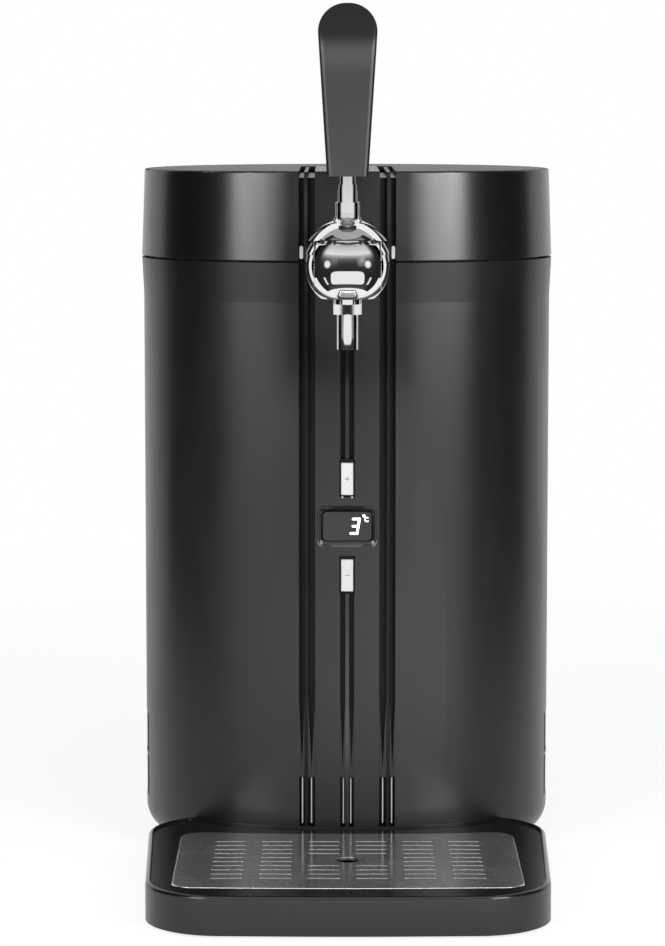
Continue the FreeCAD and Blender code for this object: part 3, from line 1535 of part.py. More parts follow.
def grille():
    body = doc.addObject("PartDesign::Body", "drip_grille")
    plan = sketchOn(body, "grille_plan", offset=grilleLow)
    grilleOutline(plan, sized(0))
    plate = pad(body, "grille_plate", plan, S.grilleThick)
    doc.recompute()
    dress(body, "Chamfer", "grille_bevel", plate, edgesAt(plate.Shape, ledgeTop), S.grilleThick - 0.7)
    drain = sketchOn(body, "grille_drain", offset=ledgeTop)
    circle(drain, S.grilleHole, 0, -S.grilleCentre)
    pocket(body, "grille_drain_hole", drain, S.grilleThick + 1)
    rows = 10
    span = S.slotPitch * (rows - 1)
    first = -S.grilleCentre - span / 2
    column = S.slotLength / 2
    columnPitch = sized(28.5)

    def slots(name, centres, row, count):
        """A row of slots that is repeated backwards at the slot pitch"""
        sketch = sketchOn(body, name + "_sketch", offset=ledgeTop)
        middle = first + S.slotPitch * row
        for centre in centres:
            rectangle(sketch, (centre - column, centre + column),
                      (middle - S.slotWidth / 2, middle + S.slotWidth / 2), S.slotWidth / 2 - 0.05)
        feature = pocket(body, name + "_cut", sketch, S.grilleThick + 1)
        spaced(body, name + "_rows", feature, sketch, "V_Axis", S.slotPitch * (count - 1), count)

    outer = [columnPitch * k for k in (-2.5, -1.5, 1.5, 2.5)]
    inner = [columnPitch * k for k in (-0.5, 0.5)]
    slots("slots_outer", outer, 0, rows)
    slots("slots_front", inner, 0, 4)
    slots("slots_back", inner, 6, 4)
    subPart("drip_grille", body)


tray()
grille()


# ---- checks and export ----

doc.recompute()
problems = [
    f"{thing.Name}: {', '.join(thing.State)}"
    for thing in doc.Objects
    if {"Invalid", "Error"} & set(thing.State)
]
for node, thing in parts.items():
    shape = thing.Shape
    if shape.isNull() or not shape.isValid() or not shape.Solids:
        problems.append(f"{node}: no valid solid")
if problems:
    raise RuntimeError("; ".join(problems))

os.makedirs("parts", exist_ok=True)
for node, thing in parts.items():
    thing.Shape.exportStep(f"parts/{node}.step")
print(len(parts), "pieces")
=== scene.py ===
import json
import math

import bmesh
import bpy
from mathutils import Matrix, Vector


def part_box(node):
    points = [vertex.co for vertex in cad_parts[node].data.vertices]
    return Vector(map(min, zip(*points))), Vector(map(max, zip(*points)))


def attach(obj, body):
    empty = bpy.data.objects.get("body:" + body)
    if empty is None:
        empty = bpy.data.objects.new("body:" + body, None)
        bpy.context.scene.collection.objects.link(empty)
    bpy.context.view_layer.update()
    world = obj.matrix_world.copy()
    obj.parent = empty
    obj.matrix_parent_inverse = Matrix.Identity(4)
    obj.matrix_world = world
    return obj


# Counter-top keg cooler: finishes, small details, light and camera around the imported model, in metres.

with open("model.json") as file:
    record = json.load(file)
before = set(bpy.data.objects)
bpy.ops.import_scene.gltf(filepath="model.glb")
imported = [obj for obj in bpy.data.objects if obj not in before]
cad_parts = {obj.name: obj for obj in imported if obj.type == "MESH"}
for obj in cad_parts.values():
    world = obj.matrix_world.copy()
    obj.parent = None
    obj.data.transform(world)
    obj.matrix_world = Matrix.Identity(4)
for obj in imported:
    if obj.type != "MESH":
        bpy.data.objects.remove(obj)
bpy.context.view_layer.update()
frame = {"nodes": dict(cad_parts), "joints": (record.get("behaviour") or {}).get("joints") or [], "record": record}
nodes = frame["nodes"]
print("frame:", len(nodes), "nodes")


# camera

camera = {
    "aside": -0.0091,
    "distance": 2.121,
    "height": 0.475,
    "tilt": math.radians(6.26),
    "lens": 129.4,
}


def placeCamera(look):
    lens = bpy.data.cameras.new("productCamera")
    lens.lens = look["lens"]
    lens.sensor_width = 36.0
    lens.sensor_fit = "AUTO"
    lens.clip_end = 200.0
    rig = bpy.data.objects.new("productCamera", lens)
    rig.location = (look["aside"], -look["distance"], look["height"])
    rig.rotation_euler = (math.pi / 2 - look["tilt"], 0.0, 0.0)
    bpy.context.scene.collection.objects.link(rig)
    bpy.context.scene.camera = rig


placeCamera(camera)
print("camera placed")


# shader wiring

class Wire:
    def __init__(self, tree, socket=None):
        self.tree = tree
        self.socket = socket

    def node(self, kind, settings=None, values=None, out=0):
        made = self.tree.nodes.new(kind)
        settings = dict(settings or {})
        stops = settings.pop("stops", None)
        for name, setting in settings.items():
            setattr(made, name, setting)
        if stops:
            ramp = made.color_ramp
            while len(ramp.elements) < len(stops):
                ramp.elements.new(0.999)
            for element, (place, tone) in zip(ramp.elements, stops):
                element.position = place
                element.color = (tone, tone, tone, 1.0)
        live = [socket for socket in made.inputs if socket.enabled]
        for key, value in (values or {}).items():
            found = live[key] if isinstance(key, int) else next(s for s in live if s.name == key)
            if isinstance(value, Wire):
                self.tree.links.new(value.socket, found)
            else:
                found.default_value = value
        shown = [socket for socket in made.outputs if socket.enabled]
        if not shown:
            return None
        return Wire(self.tree, shown[out] if isinstance(out, int) else made.outputs[out])

    def maths(self, operation, *values, clamp=False):
        settings = {"operation": operation, "use_clamp": clamp}
        return self.node("ShaderNodeMath", settings, dict(enumerate(values)))

    def __add__(self, other):
        return self.maths("ADD", self, other)

    def __sub__(self, other):
        return self.maths("SUBTRACT", self, other)

    def __mul__(self, other):
        return self.maths("MULTIPLY", self, other)

    def __truediv__(self, other):
        return self.maths("DIVIDE", self, other)

    def __pow__(self, other):
        return self.maths("POWER", self, other)

    def __abs__(self):
        return self.maths("ABSOLUTE", self)

    def __rsub__(self, other):
        return self.maths("SUBTRACT", other, self)

    __radd__ = __add__
    __rmul__ = __mul__


def newMaterial(name):
    material = bpy.data.materials.new(name)
    material.use_nodes = True
    material.node_tree.nodes.clear()
    return material, Wire(material.node_tree)


def shade(*colour):
    red, green, blue = colour if len(colour) == 3 else colour * 3
    return red, green, blue, 1.0


def objectPlace(start):
    return start.node("ShaderNodeTexCoord", out="Object")


def axes(start, place):
    split = start.node("ShaderNodeSeparateXYZ", {}, {"Vector": place})
    return [Wire(start.tree, socket) for socket in split.socket.node.outputs]


def stretched(start, scale):
    return start.node("ShaderNodeMapping", {}, {"Vector": objectPlace(start), "Scale": scale})


def cloud(start, place, scale, detail=2.0):
    return start.node("ShaderNodeTexNoise", {}, {"Vector": place, "Scale": scale, "Detail": detail})


def ramped(start, value, low, high):
    # 0 below low, 1 above high, and a smooth rise between
    span = {"Value": value, "From Min": low, "From Max": high}
    return start.node("ShaderNodeMapRange", {"interpolation_type": "SMOOTHSTEP"}, span)


def between(start, low, high, factor):
    return start.node("ShaderNodeMix", {"data_type": "RGBA"}, {"Factor": factor, "A": low, "B": high})


def easedEdges(start, radius):
    return start.node("ShaderNodeBevel", {"samples": 4}, {"Radius": radius})


def raised(start, height, depth, strength=1.0, normal=None):
    values = {"Height": height, "Distance": depth, "Strength": strength}
    if normal:
        values["Normal"] = normal
    return start.node("ShaderNodeBump", {}, values)


def finishWith(start, values, other=None, share=None):
    shader = start.node("ShaderNodeBsdfPrincipled", {}, values)
    if other:
        second = start.node("ShaderNodeBsdfPrincipled", {}, other)
        shader = start.node("ShaderNodeMixShader", {}, {0: share, 1: shader, 2: second})
    start.node("ShaderNodeOutputMaterial", {}, {"Surface": shader})


# moulded plastics

plastics = {
    "housing_grey": {"tone": (0.0030, 0.0030, 0.0032), "rough": 0.35, "gloss": 0.43,
                     "grain": 2400.0, "depth": 0.000008},
    "lid_grey": {"tone": (0.0036, 0.0036, 0.0038), "rough": 0.26, "gloss": 0.52, "worn": 0.03,
                 "topAt": 0.4309, "topRough": 0.44, "topGloss": 0.32,
                 "grain": 2400.0, "depth": 0.000006},
    "gloss_black": {"tone": (0.0034, 0.0034, 0.0036), "rough": 0.14, "grain": 900.0, "depth": 0.000004},
    "button_white": {"tone": (0.43, 0.43, 0.426), "rough": 0.34, "grain": 2000.0, "depth": 0.000006},
    "window_smoke": {"tone": (0.012, 0.012, 0.0125), "rough": 0.16, "grain": 700.0, "depth": 0.000002},
    "deck_grey": {"tone": (0.30, 0.305, 0.315), "rough": 0.42, "grain": 2200.0, "depth": 0.000012},
    "rubber_black": {"tone": (0.010, 0.010, 0.010), "rough": 0.72, "grain": 3200.0, "depth": 0.000020},
    "inner_black": {"tone": (0.0085, 0.0085, 0.0088), "rough": 0.52, "grain": 1800.0, "depth": 0.000018},
    "parts_black": {"tone": (0.018, 0.018, 0.019), "rough": 0.48, "grain": 1500.0, "depth": 0.000015},
    "ceramic_white": {"tone": (0.80, 0.80, 0.77), "rough": 0.55, "grain": 2600.0, "depth": 0.000010},
}

# what every moulded piece shares, unless its own row says otherwise
moulding = {
    "dye": 14.0,
    "dyeShare": 0.7,
    "pale": 1.22,
    "deep": 0.84,
    "wipe": (38.0, 38.0, 9.0),
    "wipeSpan": (0.35, 0.75),
    "wipeMean": 0.45,
    "worn": 0.08,
    "gloss": 0.5,
    "grainRough": 0.04,
    "eased": 0.0003,
    "topStep": 0.0005,
}


def mouldedPlastic(name, look):
    material, start = newMaterial(name)
    place = objectPlace(start)
    look = {**moulding, **look}
    grain = cloud(start, place, look["grain"], 3.0)
    dye = cloud(start, place, look["dye"])
    wiped = cloud(start, stretched(start, look["wipe"]), 1.0, 4.0)
    worn = (ramped(start, wiped, *look["wipeSpan"]) - look["wipeMean"]) * look["worn"]
    eased = easedEdges(start, look["eased"])
    pale = tuple(part * look["pale"] for part in look["tone"])
    deep = tuple(part * look["deep"] for part in look["tone"])
    mottle = dye * look["dyeShare"] + grain * (1.0 - look["dyeShare"])
    flank = {
        "Base Color": between(start, shade(*deep), shade(*pale), mottle),
        "Roughness": worn + grain * look["grainRough"] + (look["rough"] - look["grainRough"] / 2),
        "Specular IOR Level": look["gloss"],
        "Normal": raised(start, grain, look["depth"], 1.0, eased),
    }
    if "topAt" in look:
        height = axes(start, place)[2]
        crown = dict(flank)
        crown["Roughness"] = worn + grain * look["grainRough"] + look["topRough"]
        crown["Specular IOR Level"] = look["topGloss"]
        top = ramped(start, height, look["topAt"], look["topAt"] + look["topStep"])
        finishWith(start, flank, crown, top)
    else:
        finishWith(start, flank)
    return material


# tap handle: painted shade above the knee and along its rounded flanks, a painted highlight band just below the
# knee, and a painted highlight line where the face turns

handle = {
    "tone": 0.0225,
    "deep": 0.92,
    "pale": 1.45,
    "shadow": 0.0030,
    "shadowPale": 1.5,
    # painted highlight line where the face turns: its colour, and below its share, place and half width
    "line": 0.070,
    "lineShare": 0.75,
    "rough": 0.40,
    "smearRough": 0.06,
    "shadowGloss": 0.30,
    "shadowRough": 0.8,
    "knee": 0.5090,
    "kneeSoft": 0.0060,
    "kneeHighlightReach": 0.0096,
    "kneeHighlightCore": 0.001,
    "kneeHighlightShare": 0.8,
    "lowHalf": 0.0124,
    "lowAt": 0.4295,
    "widen": 0.0735,
    "flank": 0.90,
    "flankSoft": 0.03,
    "lineAt": 0.83,
    "lineHalf": 0.050,
    "grain": 2800.0,
    "depth": 0.000010,
    "eased": 0.0006,
}


def handleFinish(name, look):
    material, start = newMaterial(name)
    place = objectPlace(start)
    across, _, height = axes(start, place)
    half = (height - look["lowAt"]) * look["widen"] + look["lowHalf"]
    share = abs(across) / half
    # painted shade: above the knee and on the flanks the dark copy of the material takes over
    above = ramped(start, height, look["knee"] - look["kneeSoft"], look["knee"] + look["kneeSoft"])
    flank = ramped(start, share, look["flank"] - look["flankSoft"], look["flank"] + look["flankSoft"])
    # painted highlight line where the face turns
    line = 1.0 - ramped(start, abs(share - look["lineAt"]), look["lineHalf"] * 0.2, look["lineHalf"])
    # painted highlight band just below the knee, mixed below with a random smear
    below = abs(height - (look["knee"] - look["kneeHighlightReach"]))
    glow = 1.0 - ramped(start, below, look["kneeHighlightCore"], look["kneeHighlightReach"])
    grain = cloud(start, place, look["grain"], 3.0)
    smear = cloud(start, place, 46.0)
    lift = glow * look["kneeHighlightShare"] + smear * (1.0 - look["kneeHighlightShare"])
    tone = between(start, shade(look["tone"] * look["deep"]), shade(look["tone"] * look["pale"]), lift)
    tone = between(start, tone, shade(look["line"]), line * look["lineShare"])
    shadow = between(start, shade(look["shadow"]), shade(look["shadow"] * look["shadowPale"]), smear)
    normal = raised(start, grain, look["depth"], 1.0, easedEdges(start, look["eased"]))
    smeared = smear * look["smearRough"]
    face = {
        "Base Color": tone,
        "Roughness": smeared + (look["rough"] - look["smearRough"] / 2),
        "Normal": normal,
    }
    # the darker copy of the material: painted shade
    dark = {
        "Base Color": shadow,
        "Roughness": smeared + look["rough"] * look["shadowRough"],
        "Specular IOR Level": look["shadowGloss"],
        "Normal": normal,
    }
    finishWith(start, face, dark, start.maths("MAXIMUM", above, flank))
    return material


# channel lining: matt in the depth of the channels, glossy on the ribs

channels = {
    "tone": (0.0034, 0.0034, 0.0036),
    "pale": 1.3,
    "floorRough": 0.34,
    "floorGloss": 0.12,
    "ribRough": 0.16,
    "ribDepth": 0.0016,
    "ribSoft": 0.0008,
    "crest": 0.4290,
    "crestSoft": 0.0006,
    "crestRough": 0.42,
    "crestShare": 0.6,
    "grainRough": 0.05,
    "grain": 1500.0,
    "depth": 0.000003,
    "eased": 0.0006,
}


def channelLining(name, look, front):
    material, start = newMaterial(name)
    place = objectPlace(start)
    _, inward, height = axes(start, place)
    deep = ramped(start, inward, front + look["ribDepth"], front + look["ribDepth"] + look["ribSoft"])
    crest = ramped(start, height, look["crest"] - look["crestSoft"], look["crest"])
    grain = cloud(start, place, look["grain"], 3.0)
    pale = tuple(part * look["pale"] for part in look["tone"])
    tone = between(start, shade(*look["tone"]), shade(*pale), grain)
    grainy = grain * look["grainRough"]
    normal = raised(start, grain, look["depth"], 1.0, easedEdges(start, look["eased"]))
    rib = {
        "Base Color": tone,
        "Roughness": grainy + crest * (look["crestRough"] - look["ribRough"]) + look["ribRough"],
        "Normal": normal,
    }
    bed = {
        "Base Color": tone,
        "Roughness": grainy + look["floorRough"],
        "Specular IOR Level": look["floorGloss"],
        "Normal": normal,
    }
    finishWith(start, rib, bed, start.maths("MAXIMUM", deep, crest * look["crestShare"]))
    return material


# drip tray: satin skirt, polished ledge

trayShell = {
    "tone": (0.0044, 0.0044, 0.0046),
    "pale": 1.2,
    "skirtRough": 0.28,
    "wipeRough": 0.06,
    "grainRough": 0.04,
    "ledgeRough": 0.09,
    "ledgeWipe": 0.03,
    "ledgeGloss": 0.30,
    "ledgeDepth": 0.000001,
    "ledgeBelow": (0.0019, 0.0011),
    "wipe": (30.0, 9.0, 30.0),
    "grain": 2400.0,
    "depth": 0.000005,
    "eased": 0.0005,
}


def trayFinish(name, look, top):
    material, start = newMaterial(name)
    place = objectPlace(start)
    ledge = ramped(start, axes(start, place)[2], *(top - below for below in look["ledgeBelow"]))
    grain = cloud(start, place, look["grain"], 3.0)
    wiped = cloud(start, stretched(start, look["wipe"]), 1.0, 4.0)
    pale = tuple(part * look["pale"] for part in look["tone"])
    tone = between(start, shade(*look["tone"]), shade(*pale), grain)
    eased = easedEdges(start, look["eased"])
    skirt = {
        "Base Color": tone,
        "Roughness": wiped * look["wipeRough"] + grain * look["grainRough"] + look["skirtRough"],
        "Normal": raised(start, grain, look["depth"], 1.0, eased),
    }
    polished = {
        "Base Color": tone,
        "Roughness": wiped * look["ledgeWipe"] + look["ledgeRough"],
        "Specular IOR Level": look["ledgeGloss"],
        "Normal": raised(start, grain, look["ledgeDepth"], 0.5, eased),
    }
    finishWith(start, skirt, polished, ledge)
    return material


# metals

metals = {
    "tap_chrome": {"tone": (0.88, 0.885, 0.90), "rough": 0.0315,
                   "brushed": (60.0, 60.0, 60.0), "lines": 0.015},
    "well_aluminium": {"tone": (0.70, 0.71, 0.73), "rough": 0.27,
                       "brushed": (30.0, 30.0, 1400.0), "lines": 0.12},
    "screw_steel": {"tone": (0.56, 0.56, 0.57), "rough": 0.27,
                    "brushed": (900.0, 900.0, 900.0), "lines": 0.10},
    "insert_brass": {"tone": (0.76, 0.55, 0.24), "rough": 0.216,
                     "brushed": (200.0, 200.0, 2600.0), "lines": 0.10},
    "grille_metal": {"tone": (0.66, 0.66, 0.67), "rough": 0.099, "satin": 0.42, "eased": 0.0004,
                     "brushed": (24.0, 1600.0, 24.0), "lines": 0.04},
}

# what every worked metal shares
working = {
    "film": 42.0,
    "filmRough": 0.02,
    "dull": 0.90,
    "depth": 0.000002,
    "relief": 0.35,
    "satinShare": 0.16,
    "satinFilm": 0.2,
}


def workedMetal(name, look):
    material, start = newMaterial(name)
    look = {**working, **look}
    lines = cloud(start, stretched(start, look["brushed"]), 1.0, 3.0)
    film = cloud(start, objectPlace(start), look["film"], 3.0)
    brushed = lines * look["lines"] + film * look["filmRough"]
    dull = tuple(part * look["dull"] for part in look["tone"])
    eased = easedEdges(start, look["eased"]) if "eased" in look else None
    mirror = {
        "Base Color": between(start, shade(*dull), shade(*look["tone"]), film * 0.5 + lines * 0.5),
        "Metallic": 1.0,
        "Roughness": brushed + look["rough"],
        "Normal": raised(start, lines, look["depth"], look["relief"], eased),
    }
    if "satin" in look:
        satin = dict(mirror)
        satin["Roughness"] = brushed + look["satin"]
        finishWith(start, mirror, satin, film * look["satinFilm"] + look["satinShare"])
    else:
        finishWith(start, mirror)
    return material


# foam, hose and circuit boards

foam = {"tone": (0.84, 0.83, 0.79), "pit": (0.62, 0.61, 0.57), "bead": 420.0, "depth": 0.00035, "rough": 0.85}
hose = {"tone": (0.80, 0.83, 0.80), "rough": 0.22, "passes": 0.55, "ripple": 160.0}
board = {"resist": (0.012, 0.115, 0.045), "copper": (0.035, 0.22, 0.085), "pitch": 520.0, "rough": 0.28}


def beadFoam(name, look):
    material, start = newMaterial(name)
    place = objectPlace(start)
    bead = start.node("ShaderNodeTexVoronoi", {}, {"Vector": place, "Scale": look["bead"]})
    stain = cloud(start, place, 30.0)
    finishWith(start, {
        "Base Color": between(start, shade(*look["tone"]), shade(*look["pit"]), bead * 0.7 + stain * 0.2),
        "Roughness": stain * 0.06 + look["rough"],
        "Normal": raised(start, 1.0 - bead, look["depth"], 0.6),
    })
    return material


def clearHose(name, look):
    material, start = newMaterial(name)
    place = objectPlace(start)
    haze = cloud(start, place, look["ripple"], 3.0)
    cloudy = tuple(part * 0.88 for part in look["tone"])
    finishWith(start, {
        "Base Color": between(start, shade(*cloudy), shade(*look["tone"]), haze),
        "Roughness": haze * 0.12 + look["rough"],
        "Transmission Weight": look["passes"],
        "IOR": 1.43,
        "Normal": raised(start, haze, 0.00004),
    })
    return material


def circuitBoard(name, look):
    material, start = newMaterial(name)
    place = objectPlace(start)
    grid = start.node("ShaderNodeTexVoronoi", {"distance": "CHEBYCHEV", "feature": "F1"},
                      {"Vector": place, "Scale": look["pitch"], "Randomness": 0.6})
    track = ramped(start, grid, 0.40, 0.44)
    weave = cloud(start, place, 2400.0)
    tone = between(start, shade(*look["resist"]), shade(*look["copper"]), track * 0.8 + weave * 0.2)
    finishWith(start, {
        "Base Color": tone,
        "Roughness": weave * 0.08 + look["rough"],
        "Normal": raised(start, track + weave * 0.2, 0.00003),
    })
    return material


finishes = {name: mouldedPlastic(name, look) for name, look in plastics.items()}
finishes.update({name: workedMetal(name, look) for name, look in metals.items()})
finishes["foam_white"] = beadFoam("foam_white", foam)
finishes["hose_clear"] = clearHose("hose_clear", hose)
finishes["board_green"] = circuitBoard("board_green", board)
finishes["handle_charcoal"] = handleFinish("handle_charcoal", handle)
finishes["tray_grey"] = trayFinish("tray_grey", trayShell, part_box("drip_tray")[1].z)

linings = {}
for node in ("front_spine", "lid_spine"):
    linings[node] = channelLining(node + "_lining", channels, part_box(node)[0].y)

for part in frame["record"]["subparts"]:
    mesh = nodes[part["node"]].data
    mesh.materials.clear()
    mesh.materials.append(linings.get(part["node"]) or finishes[part["material_slot"]])
print("finishes:", len(finishes))


# small pieces

def placeMesh(name, bm, material):
    mesh = bpy.data.meshes.new(name)
    bm.to_mesh(mesh)
    bm.free()
    mesh.materials.append(material)
    piece = bpy.data.objects.new(name, mesh)
    bpy.context.scene.collection.objects.link(piece)
    return piece


def newPiece(name, bm, finish, body, smooth=False):
    bmesh.ops.recalc_face_normals(bm, faces=bm.faces)
    for face in bm.faces:
        face.smooth = smooth
    piece = placeMesh(name, bm, finish)
    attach(piece, body)
    return piece


def roundCorners(bm, edges, radius):
    # rounds the edges that run straight back
    corners = [edge for edge in edges if abs(edge.verts[0].co.y - edge.verts[1].co.y) > 1e-6]
    return bmesh.ops.bevel(bm, geom=corners, offset=radius, affect="EDGES", segments=5,
                           profile=0.5, material=-1)


def bar(bm, start, end, width, front, back):
    # one flat bar with round ends between two (x, z) points, from y = front to y = back
    start, end = Vector(start), Vector(end)
    run = end - start
    made = bmesh.ops.create_cube(bm, size=1.0)["verts"]
    bmesh.ops.scale(bm, vec=(run.length + width, back - front, width), verts=made)
    rounded = roundCorners(bm, {edge for vert in made for edge in vert.link_edges}, width * 0.48)
    made = list({vert for face in rounded["faces"] for vert in face.verts})
    middle = (start + end) / 2
    turn = Matrix.Rotation(-math.atan2(run.y, run.x), 3, "Y")
    bmesh.ops.rotate(bm, cent=(0, 0, 0), matrix=turn, verts=made)
    bmesh.ops.translate(bm, vec=(middle.x, (front + back) / 2, middle.y), verts=made)


readout = {
    "glow": (0.93, 0.97, 1.0),
    "strength": 1.1,
    "centre": (0.0049, 0.2128),
    "halfWidth": 0.00195,
    "halfHeight": 0.00450,
    "stroke": 0.00150,
    "lean": math.tan(math.radians(9.5)),
    "proud": 0.00006,
    "sunk": 0.00010,
    "unitStroke": 0.00055,
    "degreeAt": (0.01030, 0.2193),
    "degreeRadius": 0.00060,
    "letterAt": (0.01215, 0.2170),
    "letterRadius": 0.00125,
    "letterOpens": (50, 310),
    "middleReach": 0.7,
    "dim": 0.93,
    "rough": 0.25,
    "spreadRough": 0.1,
}


def glowing(name, look):
    material, start = newMaterial(name)
    place = objectPlace(start)
    spread = cloud(start, place, 900.0)
    warm = tuple(part * look["dim"] for part in look["glow"])
    tint = between(start, shade(*warm), shade(*look["glow"]), spread)
    finishWith(start, {
        "Base Color": tint,
        "Roughness": spread * look["spreadRough"] + look["rough"],
        "Emission Color": tint,
        "Emission Strength": look["strength"],
    })
    return material


def ringPoints(centre, radius, first, last, count):
    steps = [math.radians(first + (last - first) * k / count) for k in range(count + 1)]
    return [(centre[0] + radius * math.cos(a), centre[1] + radius * math.sin(a)) for a in steps]


def displayFigures(look):
    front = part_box("display_window")[0].y
    face, back = front - look["proud"], front + look["sunk"]
    lit = glowing("lit_segments", look)
    across, up = look["halfWidth"], look["halfHeight"]

    def leaning(x, z):
        return look["centre"][0] + x + z * look["lean"], look["centre"][1] + z

    digit = bmesh.new()
    for z in (-up, 0.0, up):
        reach = look["middleReach"] if z == 0 else 1.0
        bar(digit, leaning(-across * reach, z), leaning(across, z), look["stroke"], face, back)
    for z in (-up, 0.0):
        bar(digit, leaning(across, z), leaning(across, z + up), look["stroke"], face, back)
    newPiece("digit_three", digit, lit, "housing")

    unit = bmesh.new()
    for outline in (
        ringPoints(look["degreeAt"], look["degreeRadius"], 0, 360, 8),
        ringPoints(look["letterAt"], look["letterRadius"], *look["letterOpens"], 8),
    ):
        for start, end in zip(outline, outline[1:]):
            bar(unit, start, end, look["unitStroke"], face, back)
    newPiece("degrees_celsius", unit, lit, "housing")


displayFigures(readout)


buttonMarks = {
    "ink": (0.20, 0.20, 0.205),
    "reach": 0.00130,
    "stroke": 0.00050,
    "proud": 0.00003,
    "sunk": 0.00012,
}


def pressMarks(look):
    ink = mouldedPlastic("mark_ink", {"tone": look["ink"], "rough": 0.5, "grain": 2400.0, "depth": 0.000004})
    for node, body, upright in (("plus_button", "plus_key", True), ("minus_button", "minus_key", False)):
        low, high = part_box(node)
        middle = (low.z + high.z) / 2
        mark = bmesh.new()
        ends = [((-look["reach"], middle), (look["reach"], middle))]
        if upright:
            ends.append(((0.0, middle - look["reach"]), (0.0, middle + look["reach"])))
        for start, end in ends:
            bar(mark, start, end, look["stroke"], low.y - look["proud"], low.y + look["sunk"])
        newPiece(body + "_mark", mark, ink, body)


pressMarks(buttonMarks)


# sloped frame lining the display's pocket, with painted light: a paler lower slope with painted highlights at its
# lower corners, and painted shade on the top slope and the sides

bezel = {
    "outer": (0.01845, 0.0129),
    "inner": (0.01510, 0.0090),
    "middle": 0.2128,
    "round": 0.0040,
    "front": -0.03509,
    "back": -0.03292,
    "bend": 0.218,
    "thick": 0.00012,
    "slices": 3,
    "slice": 0.0042,
    # painted light and shade: tone for the middle, shadow for the top slope and sides, pale for the lower slope,
    # and the lower corners' painted highlights
    "tone": 0.0030,
    "shadow": 0.0022,
    "shadowGloss": 0.14,
    "pale": 0.0240,
    "corner": 0.1400,
    "rough": 0.20,
    "smearRough": 0.05,
    "shadowPale": 1.4,
    "shadowRough": 1.4,
    "sideShadow": 0.45,
    "floorSoft": (-0.0006, 0.0004),
    "roofSoft": (-0.0004, 0.0004),
    "cornerSoft": (-0.0002, 0.0008),
}


def bezelFinish(look):
    material, start = newMaterial("bezel_gloss")
    place = objectPlace(start)
    across, _, height = axes(start, place)
    floor, roof = look["middle"] - look["inner"][1], look["middle"] + look["inner"][1]
    # painted light: the lower slope is paler
    lower = 1.0 - ramped(start, height, *(floor + soft for soft in look["floorSoft"]))
    # painted shade on the top slope
    upper = ramped(start, height, *(roof + soft for soft in look["roofSoft"]))
    # painted highlights at the lower corners
    corner = ramped(start, abs(across), *(look["inner"][0] + soft for soft in look["cornerSoft"])) * lower
    smear = cloud(start, place, 260.0)
    pale = between(start, shade(look["tone"]), shade(look["pale"]), lower)
    lit = {
        "Base Color": between(start, pale, shade(look["corner"]), corner),
        "Roughness": smear * look["smearRough"] + look["rough"],
    }
    # painted shade: the darker copy for the top slope and, in part, the sides
    shadow = between(start, shade(look["shadow"]), shade(look["shadow"] * look["shadowPale"]), smear)
    dark = {
        "Base Color": shadow,
        "Roughness": smear * look["smearRough"] + look["rough"] * look["shadowRough"],
        "Specular IOR Level": look["shadowGloss"],
    }
    finishWith(start, lit, dark, start.maths("MAXIMUM", upper, (1.0 - lower) * look["sideShadow"]))
    return material


def displayBezel(look):
    bm = bmesh.new()
    made = bmesh.ops.create_cube(bm, size=1.0)["verts"]
    whole = (look["outer"][0] * 2, look["back"] - look["front"], look["outer"][1] * 2)
    bmesh.ops.scale(bm, vec=whole, verts=made)
    roundCorners(bm, bm.edges, look["round"])
    caps = [face for face in bm.faces if abs(face.normal.y) > 0.9]
    bmesh.ops.delete(bm, geom=caps, context="FACES_ONLY")
    for step in range(-look["slices"], look["slices"] + 1):
        parts = list(bm.verts) + list(bm.edges) + list(bm.faces)
        bmesh.ops.bisect_plane(bm, geom=parts, plane_co=(step * look["slice"], 0, 0), plane_no=(1, 0, 0))
    for vert in bm.verts:
        if vert.co.y > 0:
            vert.co.x *= look["inner"][0] / look["outer"][0]
            vert.co.z *= look["inner"][1] / look["outer"][1]
            vert.co.y = look["back"]
        else:
            vert.co.y = look["front"] + vert.co.x ** 2 / (2 * look["bend"])
        vert.co.z += look["middle"]
    bmesh.ops.recalc_face_normals(bm, faces=bm.faces)
    bmesh.ops.solidify(bm, geom=list(bm.faces), thickness=look["thick"])
    newPiece("display_bezel", bm, bezelFinish(look), "housing", True)


displayBezel(bezel)


# matt-black surround that stands in for the shade in the gap round each button and the recess above it (painted
# shade), and two white pins below the plus button that stand in for two glints (painted highlight)

surrounds = {
    "width": 0.00070,
    "gap": 0.00045,
    "crown": 0.0020,
    "front": -0.03508,
    "back": -0.03440,
    "pinAside": 0.0030,
    "pinBelow": 0.0014,
    "pinRadius": 0.00082,
    "pinTip": 0.62,
    "pinDepth": 0.0012,
    "pinSunk": 0.35,
    "pinEased": 0.00016,
    "tone": (0.0016, 0.0016, 0.0017),
}


